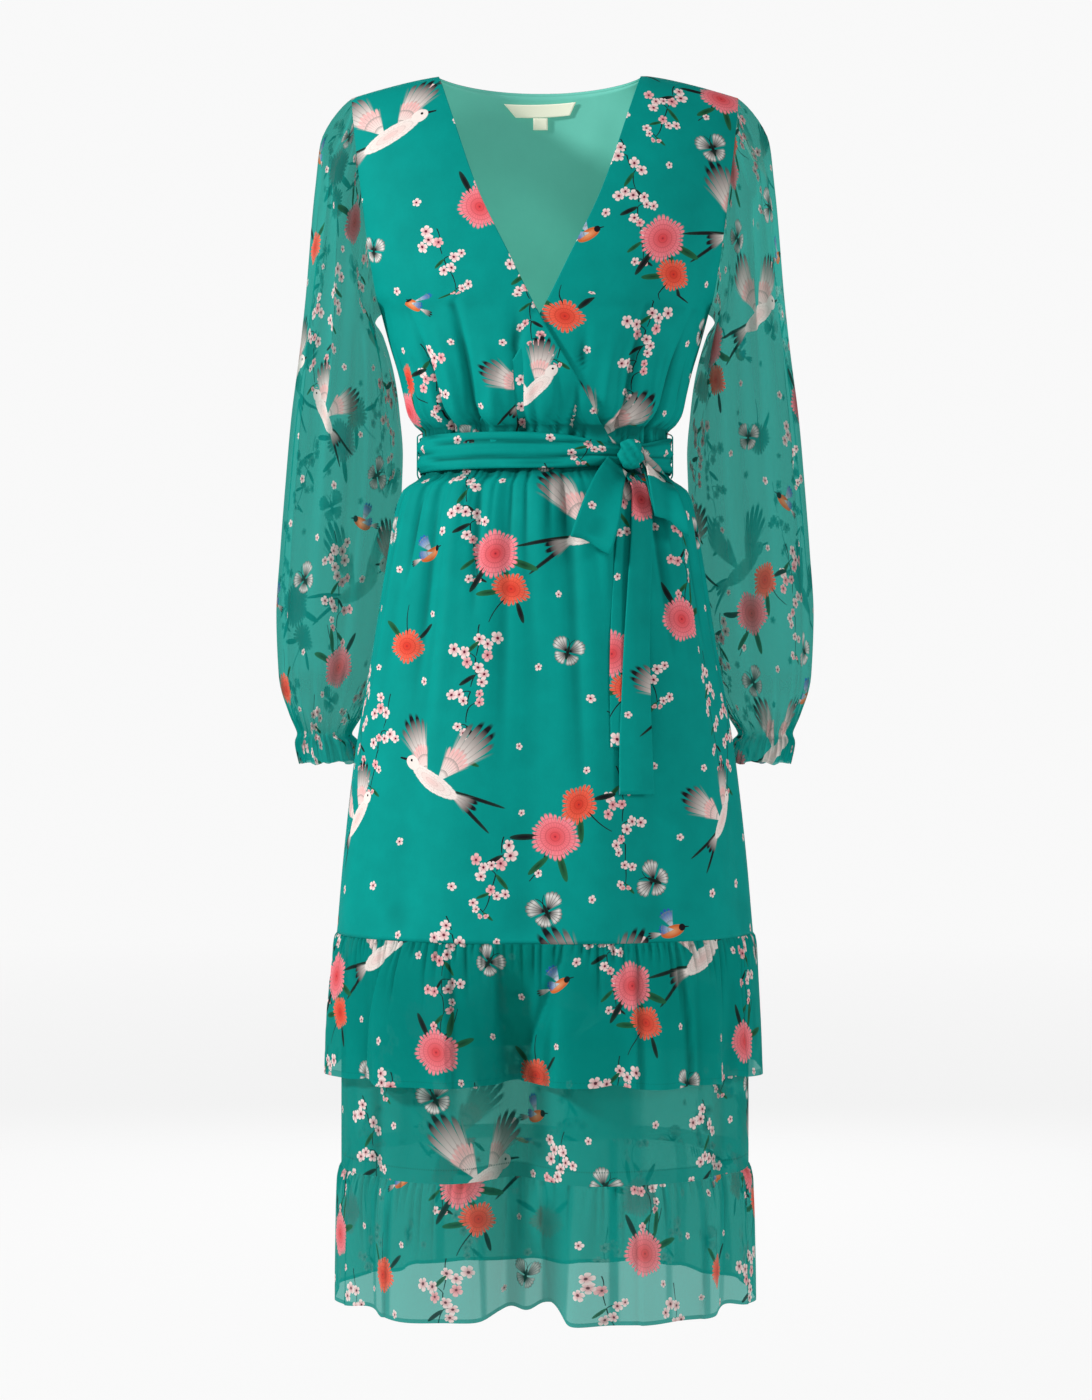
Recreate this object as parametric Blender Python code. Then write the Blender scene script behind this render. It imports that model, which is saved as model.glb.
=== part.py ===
"""Wrap dress: a midi dress with a crossed V-neck bodice, balloon sleeves, a tie belt and two flounces.

Each piece of cloth is a closed wall of even thickness. Its middle is a smooth surface, a function of a
column (across the cloth) and a row (along it), and the wall is lofted through rows sampled from it.
Pieces that are sewn together share a surface or an edge, and stop one seam gap apart.

Metres, +Z up, the front faces -Y. The origin is at the neck, level with the high shoulder points.
Right and left are the wearer's, so right is -X.
"""

import math

import bmesh
import bpy
import numpy as np

# ---------------------------------------------------------------- driving sizes, in metres
WALL = 0.0012
LABEL_WALL = 0.0010
SASH_WALL = 0.0018
GAP = 0.0003  # left open at every seam
PROBE = 0.001  # step of the finite differences, in columns, rows or degrees

WAIST_Z = -0.372
GATHER_TOP_Z = -0.300
UNDERARM_Z = -0.232
UPPER_SEAM_Z = -0.836
UPPER_HEM_Z = -0.970
LOWER_SEAM_Z = -1.062
LOWER_HEM_Z = -1.190

BODY_ROUNDNESS = 2.3  # powers of the superellipses round the body
SKIRT_ROUNDNESS = 2.2

NECK_CENTRE = -0.005
NECK_HALF = 0.099
NECK_CURVE = 0.75
BACK_NECK_DROP = 0.003
BACK_NECK_TURN = math.radians(40)
SHOULDER_TIP = 0.189
SHOULDER_DROP = 0.021
SHOULDER_CURVE = 1.3
UNDERARM_HALF = 0.160
ARMHOLE_CURVE = 0.8
ARMHOLE_SET = 0.032  # how far the ring of the chest reaches past the armhole
ARMHOLE_FADE = 0.35
CHEST_RISE = {"front": 2.0, "back": 2.4}

OVER_LIFT = 0.0020
UNDER_SINK = 0.0010
OVERLAP_EASE = 0.008

LINING_DEPTH = 0.0024
LINING_LOOSE = 0.0020
LINING_INSET = 0.5  # columns that it stops short of the armholes and side seams

SASH_STAND = 0.0052
SASH_CREASE = 0.0005
KNOT_TURN = 127.0
KNOT_SIZE = (0.0115, 0.0085, 0.0145)
KNOT_STAND = 0.0006
KNOT_RIDGE = 0.09
CARRIER_TURNS = {"right": 6.0, "left": 174.0}
CARRIER_HALF_TURN = 1.2

LABEL_DROP = 0.0225
LABEL_ROW_SCALE = 4.5  # rows of the back bodice to a metre, just below the neck
TAB_ACROSS = (-0.0070, 0.0005, 0.0080)
TAB_DROPS = (0.0320, 0.0400, 0.0470)

GREEN = (0.004, 0.296, 0.246)
SHEER_GREEN = (0.030, 0.380, 0.320)
LINING_GREEN = (0.110, 0.420, 0.340)
LABEL_CREAM = (0.680, 0.620, 0.480)


def table(columns, *rows):
    """Rows of numbers as one array for each named column."""
    return {name: np.array([row[i] for row in rows]) for i, name in enumerate(columns.split())}


# Half width and depths of the bodice, from the waist seam up to the underarm.
BODICE = table(
    "z half_width front back gather",
    (WAIST_Z, 0.1185, 0.085, 0.087, 0.0000),
    (-0.356, 0.1180, 0.085, 0.087, 0.0002),
    (-0.348, 0.1185, 0.086, 0.088, 0.0012),
    (-0.340, 0.1270, 0.094, 0.094, 0.0028),
    (-0.330, 0.1335, 0.101, 0.097, 0.0030),
    (-0.312, 0.1380, 0.107, 0.099, 0.0022),
    (-0.290, 0.1435, 0.111, 0.100, 0.0012),
    (-0.262, 0.1520, 0.113, 0.100, 0.0004),
    (UNDERARM_Z, UNDERARM_HALF, 0.112, 0.100, 0.0000),
)

# Free edge of the right front, which wraps over, from the waist seam up to the neck.
WRAP_EDGE = table(
    "z x",
    (WAIST_Z, 0.0680),
    (-0.310, 0.0330),
    (-0.247, -0.0045),
    (-0.187, -0.0345),
    (-0.127, -0.0630),
    (-0.050, -0.0885),
    (0.000, -0.1040),
)

# Upper skirt, from the waist seam down to the seam of the upper flounce.
SKIRT = table(
    "z half_width front back gather",
    (UPPER_SEAM_Z, 0.2030, 0.162, 0.166, 0.0000),
    (-0.766, 0.1970, 0.156, 0.160, 0.0000),
    (-0.668, 0.1860, 0.146, 0.152, 0.0000),
    (-0.560, 0.1680, 0.130, 0.138, 0.0000),
    (-0.480, 0.1550, 0.117, 0.124, 0.0010),
    (-0.430, 0.1455, 0.107, 0.113, 0.0026),
    (-0.406, 0.1370, 0.098, 0.102, 0.0030),
    (-0.394, 0.1215, 0.088, 0.090, 0.0004),
    (-0.390, 0.1188, 0.0853, 0.0873, 0.0000),
    (WAIST_Z, 0.1185, 0.085, 0.087, 0.0000),
)

# Sheer lower skirt, with how far the deep drapes below have opened at each height.
LOWER_SKIRT = table(
    "z half_width front back drape",
    (LOWER_HEM_Z, 0.2010, 0.158, 0.165, 1.00),
    (LOWER_SEAM_Z, 0.1990, 0.157, 0.164, 1.00),
    (UPPER_HEM_Z, 0.1990, 0.158, 0.164, 1.00),
    (-0.900, 0.1995, 0.159, 0.164, 0.55),
    (UPPER_SEAM_Z, 0.2010, 0.160, 0.164, 0.00),
)

# How far each flounce stands off the skirt line, and how much its gathers and folds show, by share
# of its height.
UPPER_STAND = table(
    "share stand gather fold",
    (0.00, 0.0020, 0.0005, 0.00),
    (0.10, 0.0040, 0.0026, 0.10),
    (0.30, 0.0070, 0.0028, 0.35),
    (0.62, 0.0106, 0.0012, 0.75),
    (1.00, 0.0125, 0.0000, 1.00),
)
LOWER_STAND = table(
    "share stand gather fold",
    (0.00, 0.0000, 0.0004, 0.00),
    (0.12, 0.0022, 0.0024, 0.15),
    (0.35, 0.0032, 0.0022, 0.45),
    (0.70, 0.0028, 0.0008, 0.80),
    (1.00, 0.0020, 0.0000, 1.00),
)

# Folds round the body. turn: degrees from the right side seam, over the front. out: how far the fold
# stands out (a valley is negative). width: degrees. lean: how far its crest slides round the body.
# lift: how much the hem rises there.
SOFT_FOLDS = table(
    "turn out width",
    (22, 0.0030, 8),
    (48, -0.0035, 7),
    (66, 0.0040, 9),
    (86, -0.0045, 6),
    (101, 0.0035, 7),
    (119, -0.0035, 7),
    (139, 0.0035, 8),
    (160, -0.0030, 8),
    (203, 0.0030, 9),
    (226, -0.0035, 8),
    (249, 0.0040, 9),
    (270, -0.0045, 7),
    (291, 0.0040, 9),
    (314, -0.0035, 8),
    (338, 0.0030, 9),
)
DRAPES = table(
    "turn out width",
    (36, -0.0070, 6),
    (82, -0.0660, 10.5),
    (147, -0.0080, 7),
    (214, -0.0140, 8),
    (262, -0.0320, 10),
    (318, -0.0150, 8),
)
UPPER_FOLDS = table(
    "turn out width lean lift",
    (16, 0.0040, 6, 0.000, 0.000),
    (37, -0.0040, 4, 0.000, 0.003),
    (50, 0.0080, 6, -0.010, -0.001),
    (66, 0.0060, 6, 0.008, 0.000),
    (76, 0.0050, 3, 0.004, 0.000),
    (84, -0.0050, 5, 0.000, 0.001),
    (96, 0.0100, 4, -0.016, 0.002),
    (106, -0.0020, 4, 0.000, 0.004),
    (119, 0.0110, 7, 0.000, -0.001),
    (129, -0.0050, 3, 0.004, 0.000),
    (136, 0.0060, 4, 0.004, 0.000),
    (149, -0.0030, 5, 0.000, 0.003),
    (164, 0.0050, 6, 0.000, 0.000),
    (197, 0.0060, 6, 0.000, 0.000),
    (213, -0.0040, 5, 0.000, 0.003),
    (229, 0.0100, 7, -0.008, 0.000),
    (250, 0.0070, 5, 0.008, 0.000),
    (263, -0.0040, 5, 0.000, 0.003),
    (277, 0.0100, 6, -0.010, 0.000),
    (298, 0.0080, 6, 0.006, 0.000),
    (316, -0.0040, 5, 0.000, 0.002),
    (334, 0.0080, 7, 0.000, 0.000),
    (350, -0.0030, 4, 0.000, 0.000),
)
LOWER_FOLDS = table(
    "turn out width lean lift",
    (12, 0.0040, 6, 0.000, 0.000),
    (31, -0.0060, 6, 0.000, 0.003),
    (53, 0.0090, 9, 0.000, -0.001),
    (70, 0.0080, 4, 0.010, 0.000),
    (80, -0.0060, 4, 0.000, 0.005),
    (91, -0.0240, 4, 0.000, 0.012),
    (99, 0.0120, 4, -0.012, 0.000),
    (116, 0.0080, 8, 0.000, 0.000),
    (136, 0.0080, 7, 0.000, 0.000),
    (152, -0.0050, 5, 0.000, 0.004),
    (168, 0.0050, 6, 0.000, 0.000),
    (192, -0.0040, 5, 0.000, 0.002),
    (206, 0.0080, 6, 0.000, 0.000),
    (226, -0.0080, 5, 0.000, 0.003),
    (243, 0.0120, 6, 0.008, 0.000),
    (259, -0.0120, 5, 0.000, 0.005),
    (274, 0.0120, 5, -0.010, 0.000),
    (293, -0.0080, 5, 0.000, 0.003),
    (309, 0.0100, 7, 0.000, 0.000),
    (330, -0.0060, 5, 0.000, 0.003),
    (346, 0.0060, 6, 0.000, 0.000),
)

# Right sleeve, ring by ring from the armhole to the frill: its outer and inner points as distances
# out from the middle of the body, where its middle lies front to back, its half depth, its gathers.
SLEEVE = table(
    "outer_x outer_z inner_x inner_z middle_y half_depth gather",
    (0.1890, -0.0220, 0.1600, -0.2320, 0.000, 0.057, 0.0000),
    (0.2060, -0.0430, 0.1680, -0.2380, 0.001, 0.059, 0.0000),
    (0.2160, -0.0640, 0.1670, -0.2440, 0.003, 0.061, 0.0000),
    (0.2215, -0.1050, 0.1620, -0.2560, 0.007, 0.062, 0.0000),
    (0.2270, -0.1500, 0.1565, -0.2720, 0.014, 0.062, 0.0000),
    (0.2340, -0.2050, 0.1510, -0.2950, 0.024, 0.061, 0.0000),
    (0.2430, -0.2650, 0.1465, -0.3270, 0.036, 0.060, 0.0000),
    (0.2530, -0.3300, 0.1425, -0.3680, 0.050, 0.058, 0.0000),
    (0.2600, -0.3950, 0.1440, -0.4150, 0.063, 0.056, 0.0000),
    (0.2660, -0.4600, 0.1490, -0.4700, 0.073, 0.054, 0.0000),
    (0.2705, -0.5250, 0.1540, -0.5280, 0.079, 0.052, 0.0005),
    (0.2680, -0.5850, 0.1660, -0.5850, 0.081, 0.050, 0.0012),
    (0.2570, -0.6230, 0.1840, -0.6230, 0.081, 0.038, 0.0022),
    (0.2480, -0.6440, 0.1965, -0.6440, 0.081, 0.022, 0.0006),
    (0.2500, -0.6530, 0.1900, -0.6530, 0.081, 0.028, 0.0026),
    (0.2465, -0.6720, 0.1850, -0.6720, 0.081, 0.030, 0.0036),
)
ARMHOLE_STEPS = 8  # rows of the bodice from the underarm to the shoulder tip
SLEEVE_BLEND = 2.0  # rings over which the armhole's own shape turns into the sleeve's
SLEEVE_RINGS = (1, 2, 3, 4, 5, 6, 7, 8, 9, 10, 11, 12, 13, 13.5, 14, 15)

# The band of the tie belt, by degrees away from the knot: half its height and how far it dips.
SASH = table(
    "away half dip",
    (0, 0.0101, 0.0040),
    (10, 0.0112, 0.0036),
    (20, 0.0134, 0.0026),
    (30, 0.0156, 0.0015),
    (45, 0.0171, 0.0004),
    (70, 0.0175, 0.0000),
    (180, 0.0175, 0.0000),
)

# The bow's loops: middle line (x, z and how far it stands before the skirt) and half of the ribbon's
# width as a sideways vector.
LOOP_RIGHT = table(
    "x z stand across_x across_y across_z",
    (0.0690, -0.3855, 0.0118, 0.009, 0.000, -0.008),
    (0.0610, -0.4040, 0.0170, 0.013, 0.000, -0.008),
    (0.0520, -0.4350, 0.0220, 0.018, 0.000, -0.008),
    (0.0455, -0.4560, 0.0215, 0.019, 0.000, -0.008),
    (0.0430, -0.4640, 0.0155, 0.019, 0.000, -0.008),
    (0.0460, -0.4550, 0.0115, 0.018, 0.000, -0.008),
    (0.0540, -0.4250, 0.0105, 0.015, 0.000, -0.008),
    (0.0655, -0.3930, 0.0085, 0.009, 0.000, -0.007),
)
LOOP_LEFT = table(
    "x z stand across_x across_y across_z",
    (0.0945, -0.3780, 0.0250, 0.002, 0.001, -0.009),
    (0.1040, -0.3830, 0.0270, 0.009, 0.003, -0.011),
    (0.1110, -0.4030, 0.0300, 0.015, 0.004, -0.010),
    (0.1180, -0.4300, 0.0290, 0.017, 0.004, -0.009),
    (0.1210, -0.4440, 0.0230, 0.017, 0.004, -0.009),
    (0.1170, -0.4340, 0.0170, 0.016, 0.004, -0.009),
    (0.1080, -0.4080, 0.0150, 0.013, 0.004, -0.010),
    (0.0960, -0.3880, 0.0180, 0.004, 0.002, -0.007),
)

# The hanging ends lie on the skirt: the turn of their middle, half their width in degrees and how
# far they stand off it.
TAIL_FRONT = table(
    "z turn half_turn stand",
    (-0.698, 114.4, 5.5, 0.0068),
    (-0.660, 114.9, 5.4, 0.0068),
    (-0.580, 117.6, 5.0, 0.0066),
    (-0.500, 121.5, 4.9, 0.0066),
    (-0.440, 125.0, 4.9, 0.0066),
    (-0.400, 127.0, 3.6, 0.0080),
    (-0.3935, 127.2, 3.0, 0.0095),
)
TAIL_BACK = table(
    "z turn half_turn stand",
    (-0.654, 111.2, 4.0, 0.0030),
    (-0.600, 112.0, 4.0, 0.0030),
    (-0.520, 114.4, 3.9, 0.0030),
    (-0.440, 118.6, 3.6, 0.0030),
    (-0.420, 119.6, 2.6, 0.0030),
)

# Belt carriers, by share of the way down: height and how far they stand off the waist.
CARRIER = table(
    "share z stand",
    (0.00, -0.3500, 0.0016),
    (0.10, -0.3520, 0.0064),
    (0.20, -0.3540, 0.0076),
    (0.50, -0.3720, 0.0076),
    (0.80, -0.3890, 0.0076),
    (0.90, -0.3915, 0.0072),
    (1.00, -0.3940, 0.0060),
)

# Neck label, from tip to tip: distance from the neck's middle and half its height.
LABEL = table(
    "across half",
    (-0.0375, 0.0015),
    (-0.0300, 0.0088),
    (-0.0150, 0.0088),
    (0.0000, 0.0088),
    (0.0150, 0.0088),
    (0.0300, 0.0088),
    (0.0375, 0.0015),
)

# Columns across each piece, front and back. Each gather takes two: its crest and its hollow.
OVER_COLUMNS = 26
UNDER_COLUMNS = 16
BACK_COLUMNS = 28
BACK_COARSE = 20
SKIRT_COLUMNS = (32, 28)
SKIRT_COARSE = (22, 18)
LOWER_SKIRT_COLUMNS = (36, 26)
UPPER_COLUMNS = (60, 44)
LOWER_COLUMNS = (48, 36)
SLEEVE_COLUMNS = 18
CUFF_COLUMNS = 24
SASH_COLUMNS = 52
LOOP_STRIPS = 16
TAIL_STRIPS = 10

# Where the rows of the long pieces lie: heights, or shares of the way from seam to hem.
SKIRT_HEIGHTS = (
    WAIST_Z - GAP, -0.392, -0.404, -0.425, -0.462, -0.52, -0.59, -0.66, -0.73, -0.79, UPPER_SEAM_Z,
)
SKIRT_FINE_Z = -0.470
LOWER_SKIRT_HEIGHTS = (UPPER_SEAM_Z - 2 * GAP, -0.90, -0.97, LOWER_SEAM_Z)
FLOUNCE_SHARES = (0.0, 0.08, 0.24, 0.48, 0.74, 1.0)
LINING_STATIONS = (0.02, 0.16, 0.29, 0.43, 0.72, 1.0, 1.25, 1.5, 1.75, 1.875, 1.985)


# ---------------------------------------------------------------- curves and surfaces
def smooth(share):
    """Rises from 0 to 1 with level ends."""
    share = np.clip(share, 0.0, 1.0)
    return share * share * (3.0 - 2.0 * share)


def signed_power(value, power):
    """Power of the size, with the sign kept."""
    return np.sign(value) * np.abs(value) ** power


def through(stations, values, at):
    """Smooth curve through rising stations: cubics whose slopes are the harmonic means of the
    neighbouring chords, so it never overshoots a value."""
    steps = np.diff(stations)
    chords = np.diff(values) / steps
    product = chords[:-1] * chords[1:]
    total = np.where(product > 0, chords[:-1] + chords[1:], 1.0)
    inner = np.where(product > 0, 2.0 * product / total, 0.0)
    slopes = np.concatenate((chords[:1], inner, chords[-1:]))
    at = np.clip(at, stations[0], stations[-1])
    k = np.clip(np.searchsorted(stations, at, side="right") - 1, 0, len(steps) - 1)
    t = (at - stations[k]) / steps[k]
    rise = (1 - t) ** 2 * ((1 + 2 * t) * values[k] + t * steps[k] * slopes[k])
    return rise + t * t * ((3 - 2 * t) * values[k + 1] + (t - 1) * steps[k] * slopes[k + 1])


def column(source, name, z):
    """A table's named column at height z."""
    return through(source["z"], source[name], z)


def unit(vectors):
    """Vectors scaled to length 1."""
    return vectors / np.linalg.norm(vectors, axis=-1, keepdims=True)


def sample(surface, columns, row, facing=1):
    """Points of one row of a surface and its unit normals, from central differences."""
    columns = np.asarray(columns, float)
    row = np.full_like(columns, row)
    across = surface(columns + PROBE, row) - surface(columns - PROBE, row)
    along = surface(columns, row + PROBE) - surface(columns, row - PROBE)
    return surface(columns, row), unit(np.cross(across, along)) * facing


def offset(surface, amount, facing=1):
    """The surface moved along its normals by amount(columns, rows)."""

    def moved(columns, rows):
        across = surface(columns + PROBE, rows) - surface(columns - PROBE, rows)
        along = surface(columns, rows + PROBE) - surface(columns, rows - PROBE)
        normals = unit(np.cross(across, along)) * facing
        return surface(columns, rows) + normals * amount(columns, rows)[..., None]

    return moved


# ---------------------------------------------------------------- bodice form
def armhole_x(climb):
    """Distance out of the armhole edge, by share of the height from underarm to shoulder."""
    reach = SHOULDER_TIP - UNDERARM_HALF
    return UNDERARM_HALF + reach * np.clip(climb, 0, 1) ** ARMHOLE_CURVE


def chest_half(climb):
    """Half width of the ring that the chest lies on: past the armhole, where the arm goes."""
    climb = np.clip(climb, 0, 1)
    return armhole_x(climb) + ARMHOLE_SET * np.sqrt(climb) * (1 - ARMHOLE_FADE * climb**2)


def shoulder_z(x):
    """Height of the shoulder seam: level at the neck, falling to the tip."""
    share = np.clip((np.abs(x) - NECK_HALF) / (SHOULDER_TIP - NECK_HALF), 0, 1)
    return -SHOULDER_DROP * share**SHOULDER_CURVE


def ring_width(row, side):
    """Half width of the bodice ring on a row: 0 waist, 1 underarm, 2 shoulder."""
    z = WAIST_Z + (UNDERARM_Z - WAIST_Z) * np.minimum(row, 1)
    low = column(BODICE, "half_width", z)
    turn = np.clip(row - 1, 0, 1) * math.pi / 2
    high = chest_half(np.sin(turn) ** (2 / CHEST_RISE[side]))
    return np.where(row <= 1, low, high)


def bodice_form(angle, row, side):
    """Point of the bodice form, at an angle from the right side seam.

    Up to the underarm the rings are superellipses. Above it, while a turn q runs up to the top edge,
    depth falls as cos q and height climbs as sin(q) ** (2 / rise). The turn is a quarter at the
    shoulders and less across the back neck, which so stays behind them.
    """
    z_low = WAIST_Z + (UNDERARM_Z - WAIST_Z) * np.minimum(row, 1)
    x = -ring_width(row, side) * signed_power(np.cos(angle), 2 / BODY_ROUNDNESS)
    depth = column(BODICE, side, z_low) * signed_power(np.sin(angle), 2 / BODY_ROUNDNESS)
    neck = 0.0 * x
    if side == "back":
        neck = (1 - np.clip(np.abs(x - NECK_CENTRE) / NECK_HALF, 0, 1) ** 2) ** NECK_CURVE
    last_turn = math.pi / 2 - BACK_NECK_TURN * neck
    top_z = shoulder_z(x) - BACK_NECK_DROP * neck
    turn = last_turn * np.clip(row - 1, 0, 2)
    climb = (np.abs(np.sin(turn)) / np.sin(last_turn)) ** (2 / CHEST_RISE[side])
    y = depth * np.cos(turn) * (-1 if side == "front" else 1)
    z = np.where(row <= 1, z_low, UNDERARM_Z + climb * (top_z - UNDERARM_Z))
    return np.stack((x, y, z), axis=-1)


def armhole_angle(row, side):
    """Angle of the armhole edge from the side seam, 0 up to the underarm."""
    turn = np.clip(row - 1, 0, 1) * math.pi / 2
    climb = np.sin(turn) ** (2 / CHEST_RISE[side])
    share = armhole_x(climb) / chest_half(climb)
    return np.arccos(np.clip(share, 0, 1) ** (BODY_ROUNDNESS / 2))


def front_height(row):
    """Height of a row of the fronts inside the shoulder line's level stretch."""
    climb = np.sin(np.clip(row - 1, 0, 1) * math.pi / 2) ** (2 / CHEST_RISE["front"])
    low = WAIST_Z + (UNDERARM_Z - WAIST_Z) * row
    return np.where(row <= 1, low, UNDERARM_Z * (1 - climb))


def angle_at(x, row, side):
    """Angle at which a row of the bodice form reaches distance x."""
    share = np.clip(np.abs(x) / ring_width(row, side), 0, 1)
    return np.arccos(-np.sign(x) * share ** (BODY_ROUNDNESS / 2))


def over_edge(z):
    """Where the free edge of the over front runs."""
    return through(WRAP_EDGE["z"], WRAP_EDGE["x"], z)


def under_edge(z):
    """Where the free edge of the under front runs: the over front's, mirrored at the neck's middle."""
    return 2 * NECK_CENTRE - over_edge(z)


def crest(columns):
    """1 on even columns, 0 on odd ones: gathers that stand out from the cloth, some less than others."""
    uneven = 0.72 + 0.28 * np.sin(1.37 * columns + 0.6) * np.sin(0.53 * columns + 1.9)
    return 0.5 * (1 + np.cos(math.pi * columns)) * uneven


def over_front(columns, rows):
    """Right front. Column 0 is the side seam and armhole, the last one the free edge. It lies on
    the under front where they cross, and is gathered above the waist."""

    def plain(c, r):
        start = armhole_angle(r, "front")
        end = angle_at(over_edge(front_height(r)), r, "front")
        return bodice_form(start + (end - start) * c / OVER_COLUMNS, r, "front")

    def lift(c, r):
        z = front_height(r)
        crossing = smooth((plain(c, r)[..., 0] - under_edge(z) + OVERLAP_EASE) / OVERLAP_EASE)
        return OVER_LIFT * crossing + column(BODICE, "gather", z) * crest(c)

    return offset(plain, lift)(columns, rows)


def under_front(columns, rows):
    """Left front. Column 0 is its hidden free edge, the last one the side seam and armhole. It
    sinks under the over front and is gathered only where it shows."""

    def plain(c, r):
        start = angle_at(under_edge(front_height(r)), r, "front")
        end = math.pi - armhole_angle(r, "front")
        return bodice_form(start + (end - start) * c / UNDER_COLUMNS, r, "front")

    def lift(c, r):
        z = front_height(r)
        clear = (plain(c, r)[..., 0] - over_edge(z)) / OVERLAP_EASE
        gather = column(BODICE, "gather", z) * crest(c) * smooth(clear - 1)
        return gather - UNDER_SINK * smooth(1.5 - clear)

    return offset(plain, lift)(columns, rows)


def plain_back(columns, rows):
    """Back bodice without its gathers, column 0 at the right side seam and armhole."""
    start = armhole_angle(rows, "back")
    return bodice_form(start + (math.pi - 2 * start) * columns / BACK_COLUMNS, rows, "back")


def back(columns, rows):
    """Back bodice, gathered above the waist."""

    def lift(c, r):
        z = WAIST_Z + (UNDERARM_Z - WAIST_Z) * np.minimum(r, 1)
        return column(BODICE, "gather", z) * crest(c)

    return offset(plain_back, lift, facing=-1)(columns, rows)


def lining(columns, rows):
    """Back lining: the plain back moved in, loose in the middle and close at its top edge."""

    def inward(_, r):
        return -LINING_DEPTH + LINING_LOOSE * (smooth((r - 1.6) / 0.4) - 1)

    return offset(plain_back, inward, facing=-1)(columns, rows)


# ---------------------------------------------------------------- skirt forms
def ring(turn, source, z, roundness=SKIRT_ROUNDNESS):
    """Superellipse ring of a table's sizes at height z, at a turn in degrees."""
    angle = np.radians(turn)
    front = column(source, "front", z)
    depth = np.where(np.sin(angle) >= 0, front, column(source, "back", z))
    x = -column(source, "half_width", z) * signed_power(np.cos(angle), 2 / roundness)
    y = -depth * signed_power(np.sin(angle), 2 / roundness)
    return np.stack((x, y, z + 0 * x), axis=-1)


def beside(turn, source, z):
    """Unit vectors round and out of a ring."""
    round_body = ring(turn + PROBE, source, z) - ring(turn - PROBE, source, z)
    round_body[..., 2] = 0
    round_body = unit(round_body)
    out = np.stack((round_body[..., 1], -round_body[..., 0], 0 * turn), axis=-1)
    return round_body, out


def bump_sum(turn, source, name):
    """Sum of a fold table's column, each fold a bell across its width."""
    away = (turn[..., None] - source["turn"] + 180) % 360 - 180
    return (source[name] * np.exp(-((away / source["width"]) ** 2))).sum(axis=-1)


def gather_columns(turn, front, rear):
    """Column round a ring whose front has `front` columns and whose back has `rear`."""
    turn = np.mod(turn, 360)
    return np.where(turn < 180, turn * front / 180, (turn - 180) * rear / 180)


def skirt(turn, z):
    """Upper skirt: gathers below the waist that fade into soft folds."""
    _, out = beside(turn, SKIRT, z)
    columns = gather_columns(turn, *SKIRT_COLUMNS)
    fade = smooth((WAIST_Z - 0.03 - z) / 0.15) * smooth((z - UPPER_SEAM_Z) / 0.05 + 0.35)
    stand = column(SKIRT, "gather", z) * crest(columns) + bump_sum(turn, SOFT_FOLDS, "out") * fade
    return ring(turn, SKIRT, z) + out * stand[..., None]


def lower_skirt(turn, z):
    """Sheer lower skirt, with the deep drapes that open below the upper flounce's seam."""
    _, out = beside(turn, LOWER_SKIRT, z)
    stand = bump_sum(turn, DRAPES, "out") * column(LOWER_SKIRT, "drape", z)
    return ring(turn, LOWER_SKIRT, z) + out * stand[..., None]


def flounce(turn, share, top_z, hem_z, stands, folds, counts):
    """A flounce that hangs over the lower skirt's line: fine gathers at the seam run together into
    fewer, wider folds at the hem, some of which lean round the body past their foot."""
    at = {name: through(stands["share"], stands[name], share) for name in stands}
    z = top_z + (hem_z - top_z) * share
    round_body, out = beside(turn, LOWER_SKIRT, z)
    stand = at["stand"] + at["gather"] * crest(gather_columns(turn, *counts))
    stand = stand + bump_sum(turn, folds, "out") * at["fold"]
    lean = bump_sum(turn, folds, "lean") * at["fold"]
    points = lower_skirt(turn, z) + out * stand[..., None] + round_body * lean[..., None]
    points[..., 2] += bump_sum(turn, folds, "lift") * at["fold"]
    return points


def upper_flounce(turn, share):
    """Upper flounce: turn in degrees, share of the way from its seam to its hem."""
    top_z = UPPER_SEAM_Z - GAP
    return flounce(turn, share, top_z, UPPER_HEM_Z, UPPER_STAND, UPPER_FOLDS, UPPER_COLUMNS)


def lower_flounce(turn, share):
    """Lower flounce: turn in degrees, share of the way from its seam to its hem."""
    top_z = LOWER_SEAM_Z - GAP
    return flounce(turn, share, top_z, LOWER_HEM_Z, LOWER_STAND, LOWER_FOLDS, LOWER_COLUMNS)


def skirt_front_y(x, z):
    """Depth at which the front of the upper skirt lies, at distance x."""
    share = np.clip(np.abs(x) / column(SKIRT, "half_width", z), 0, 0.93)
    return -column(SKIRT, "front", z) * (1 - share**SKIRT_ROUNDNESS) ** (1 / SKIRT_ROUNDNESS)


# ---------------------------------------------------------------- sleeve form
def armhole_ring():
    """Points, normals and directions away from the bodice round the right armhole: from the
    underarm up the front, over the shoulder tip and down the back."""
    rows = 1 + np.arange(ARMHOLE_STEPS + 1) / ARMHOLE_STEPS
    fronts = [sample(over_front, np.zeros(1), row) for row in rows]
    backs = [sample(back, np.zeros(1), row, facing=-1) for row in rows]
    ordered = fronts + backs[-2:0:-1]
    points = np.concatenate([pair[0] for pair in ordered])
    normals = np.concatenate([pair[1] for pair in ordered])
    along = unit(np.roll(points, -1, axis=0) - np.roll(points, 1, axis=0))
    return points, normals, unit(np.cross(normals, along))


def round_trip(points, at):
    """Closed smooth curve through points, at a place counted in points (Catmull-Rom)."""
    count = len(points)
    k = np.floor(at).astype(int)
    t = (at - k)[..., None]
    before, here, after, beyond = (points[(k + step) % count] for step in (-1, 0, 1, 2))
    bend = 2 * before - 5 * here + 4 * after - beyond
    twist = 3 * here - before - 3 * after + beyond
    return here + 0.5 * t * ((after - before) + t * (bend + t * twist))


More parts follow.
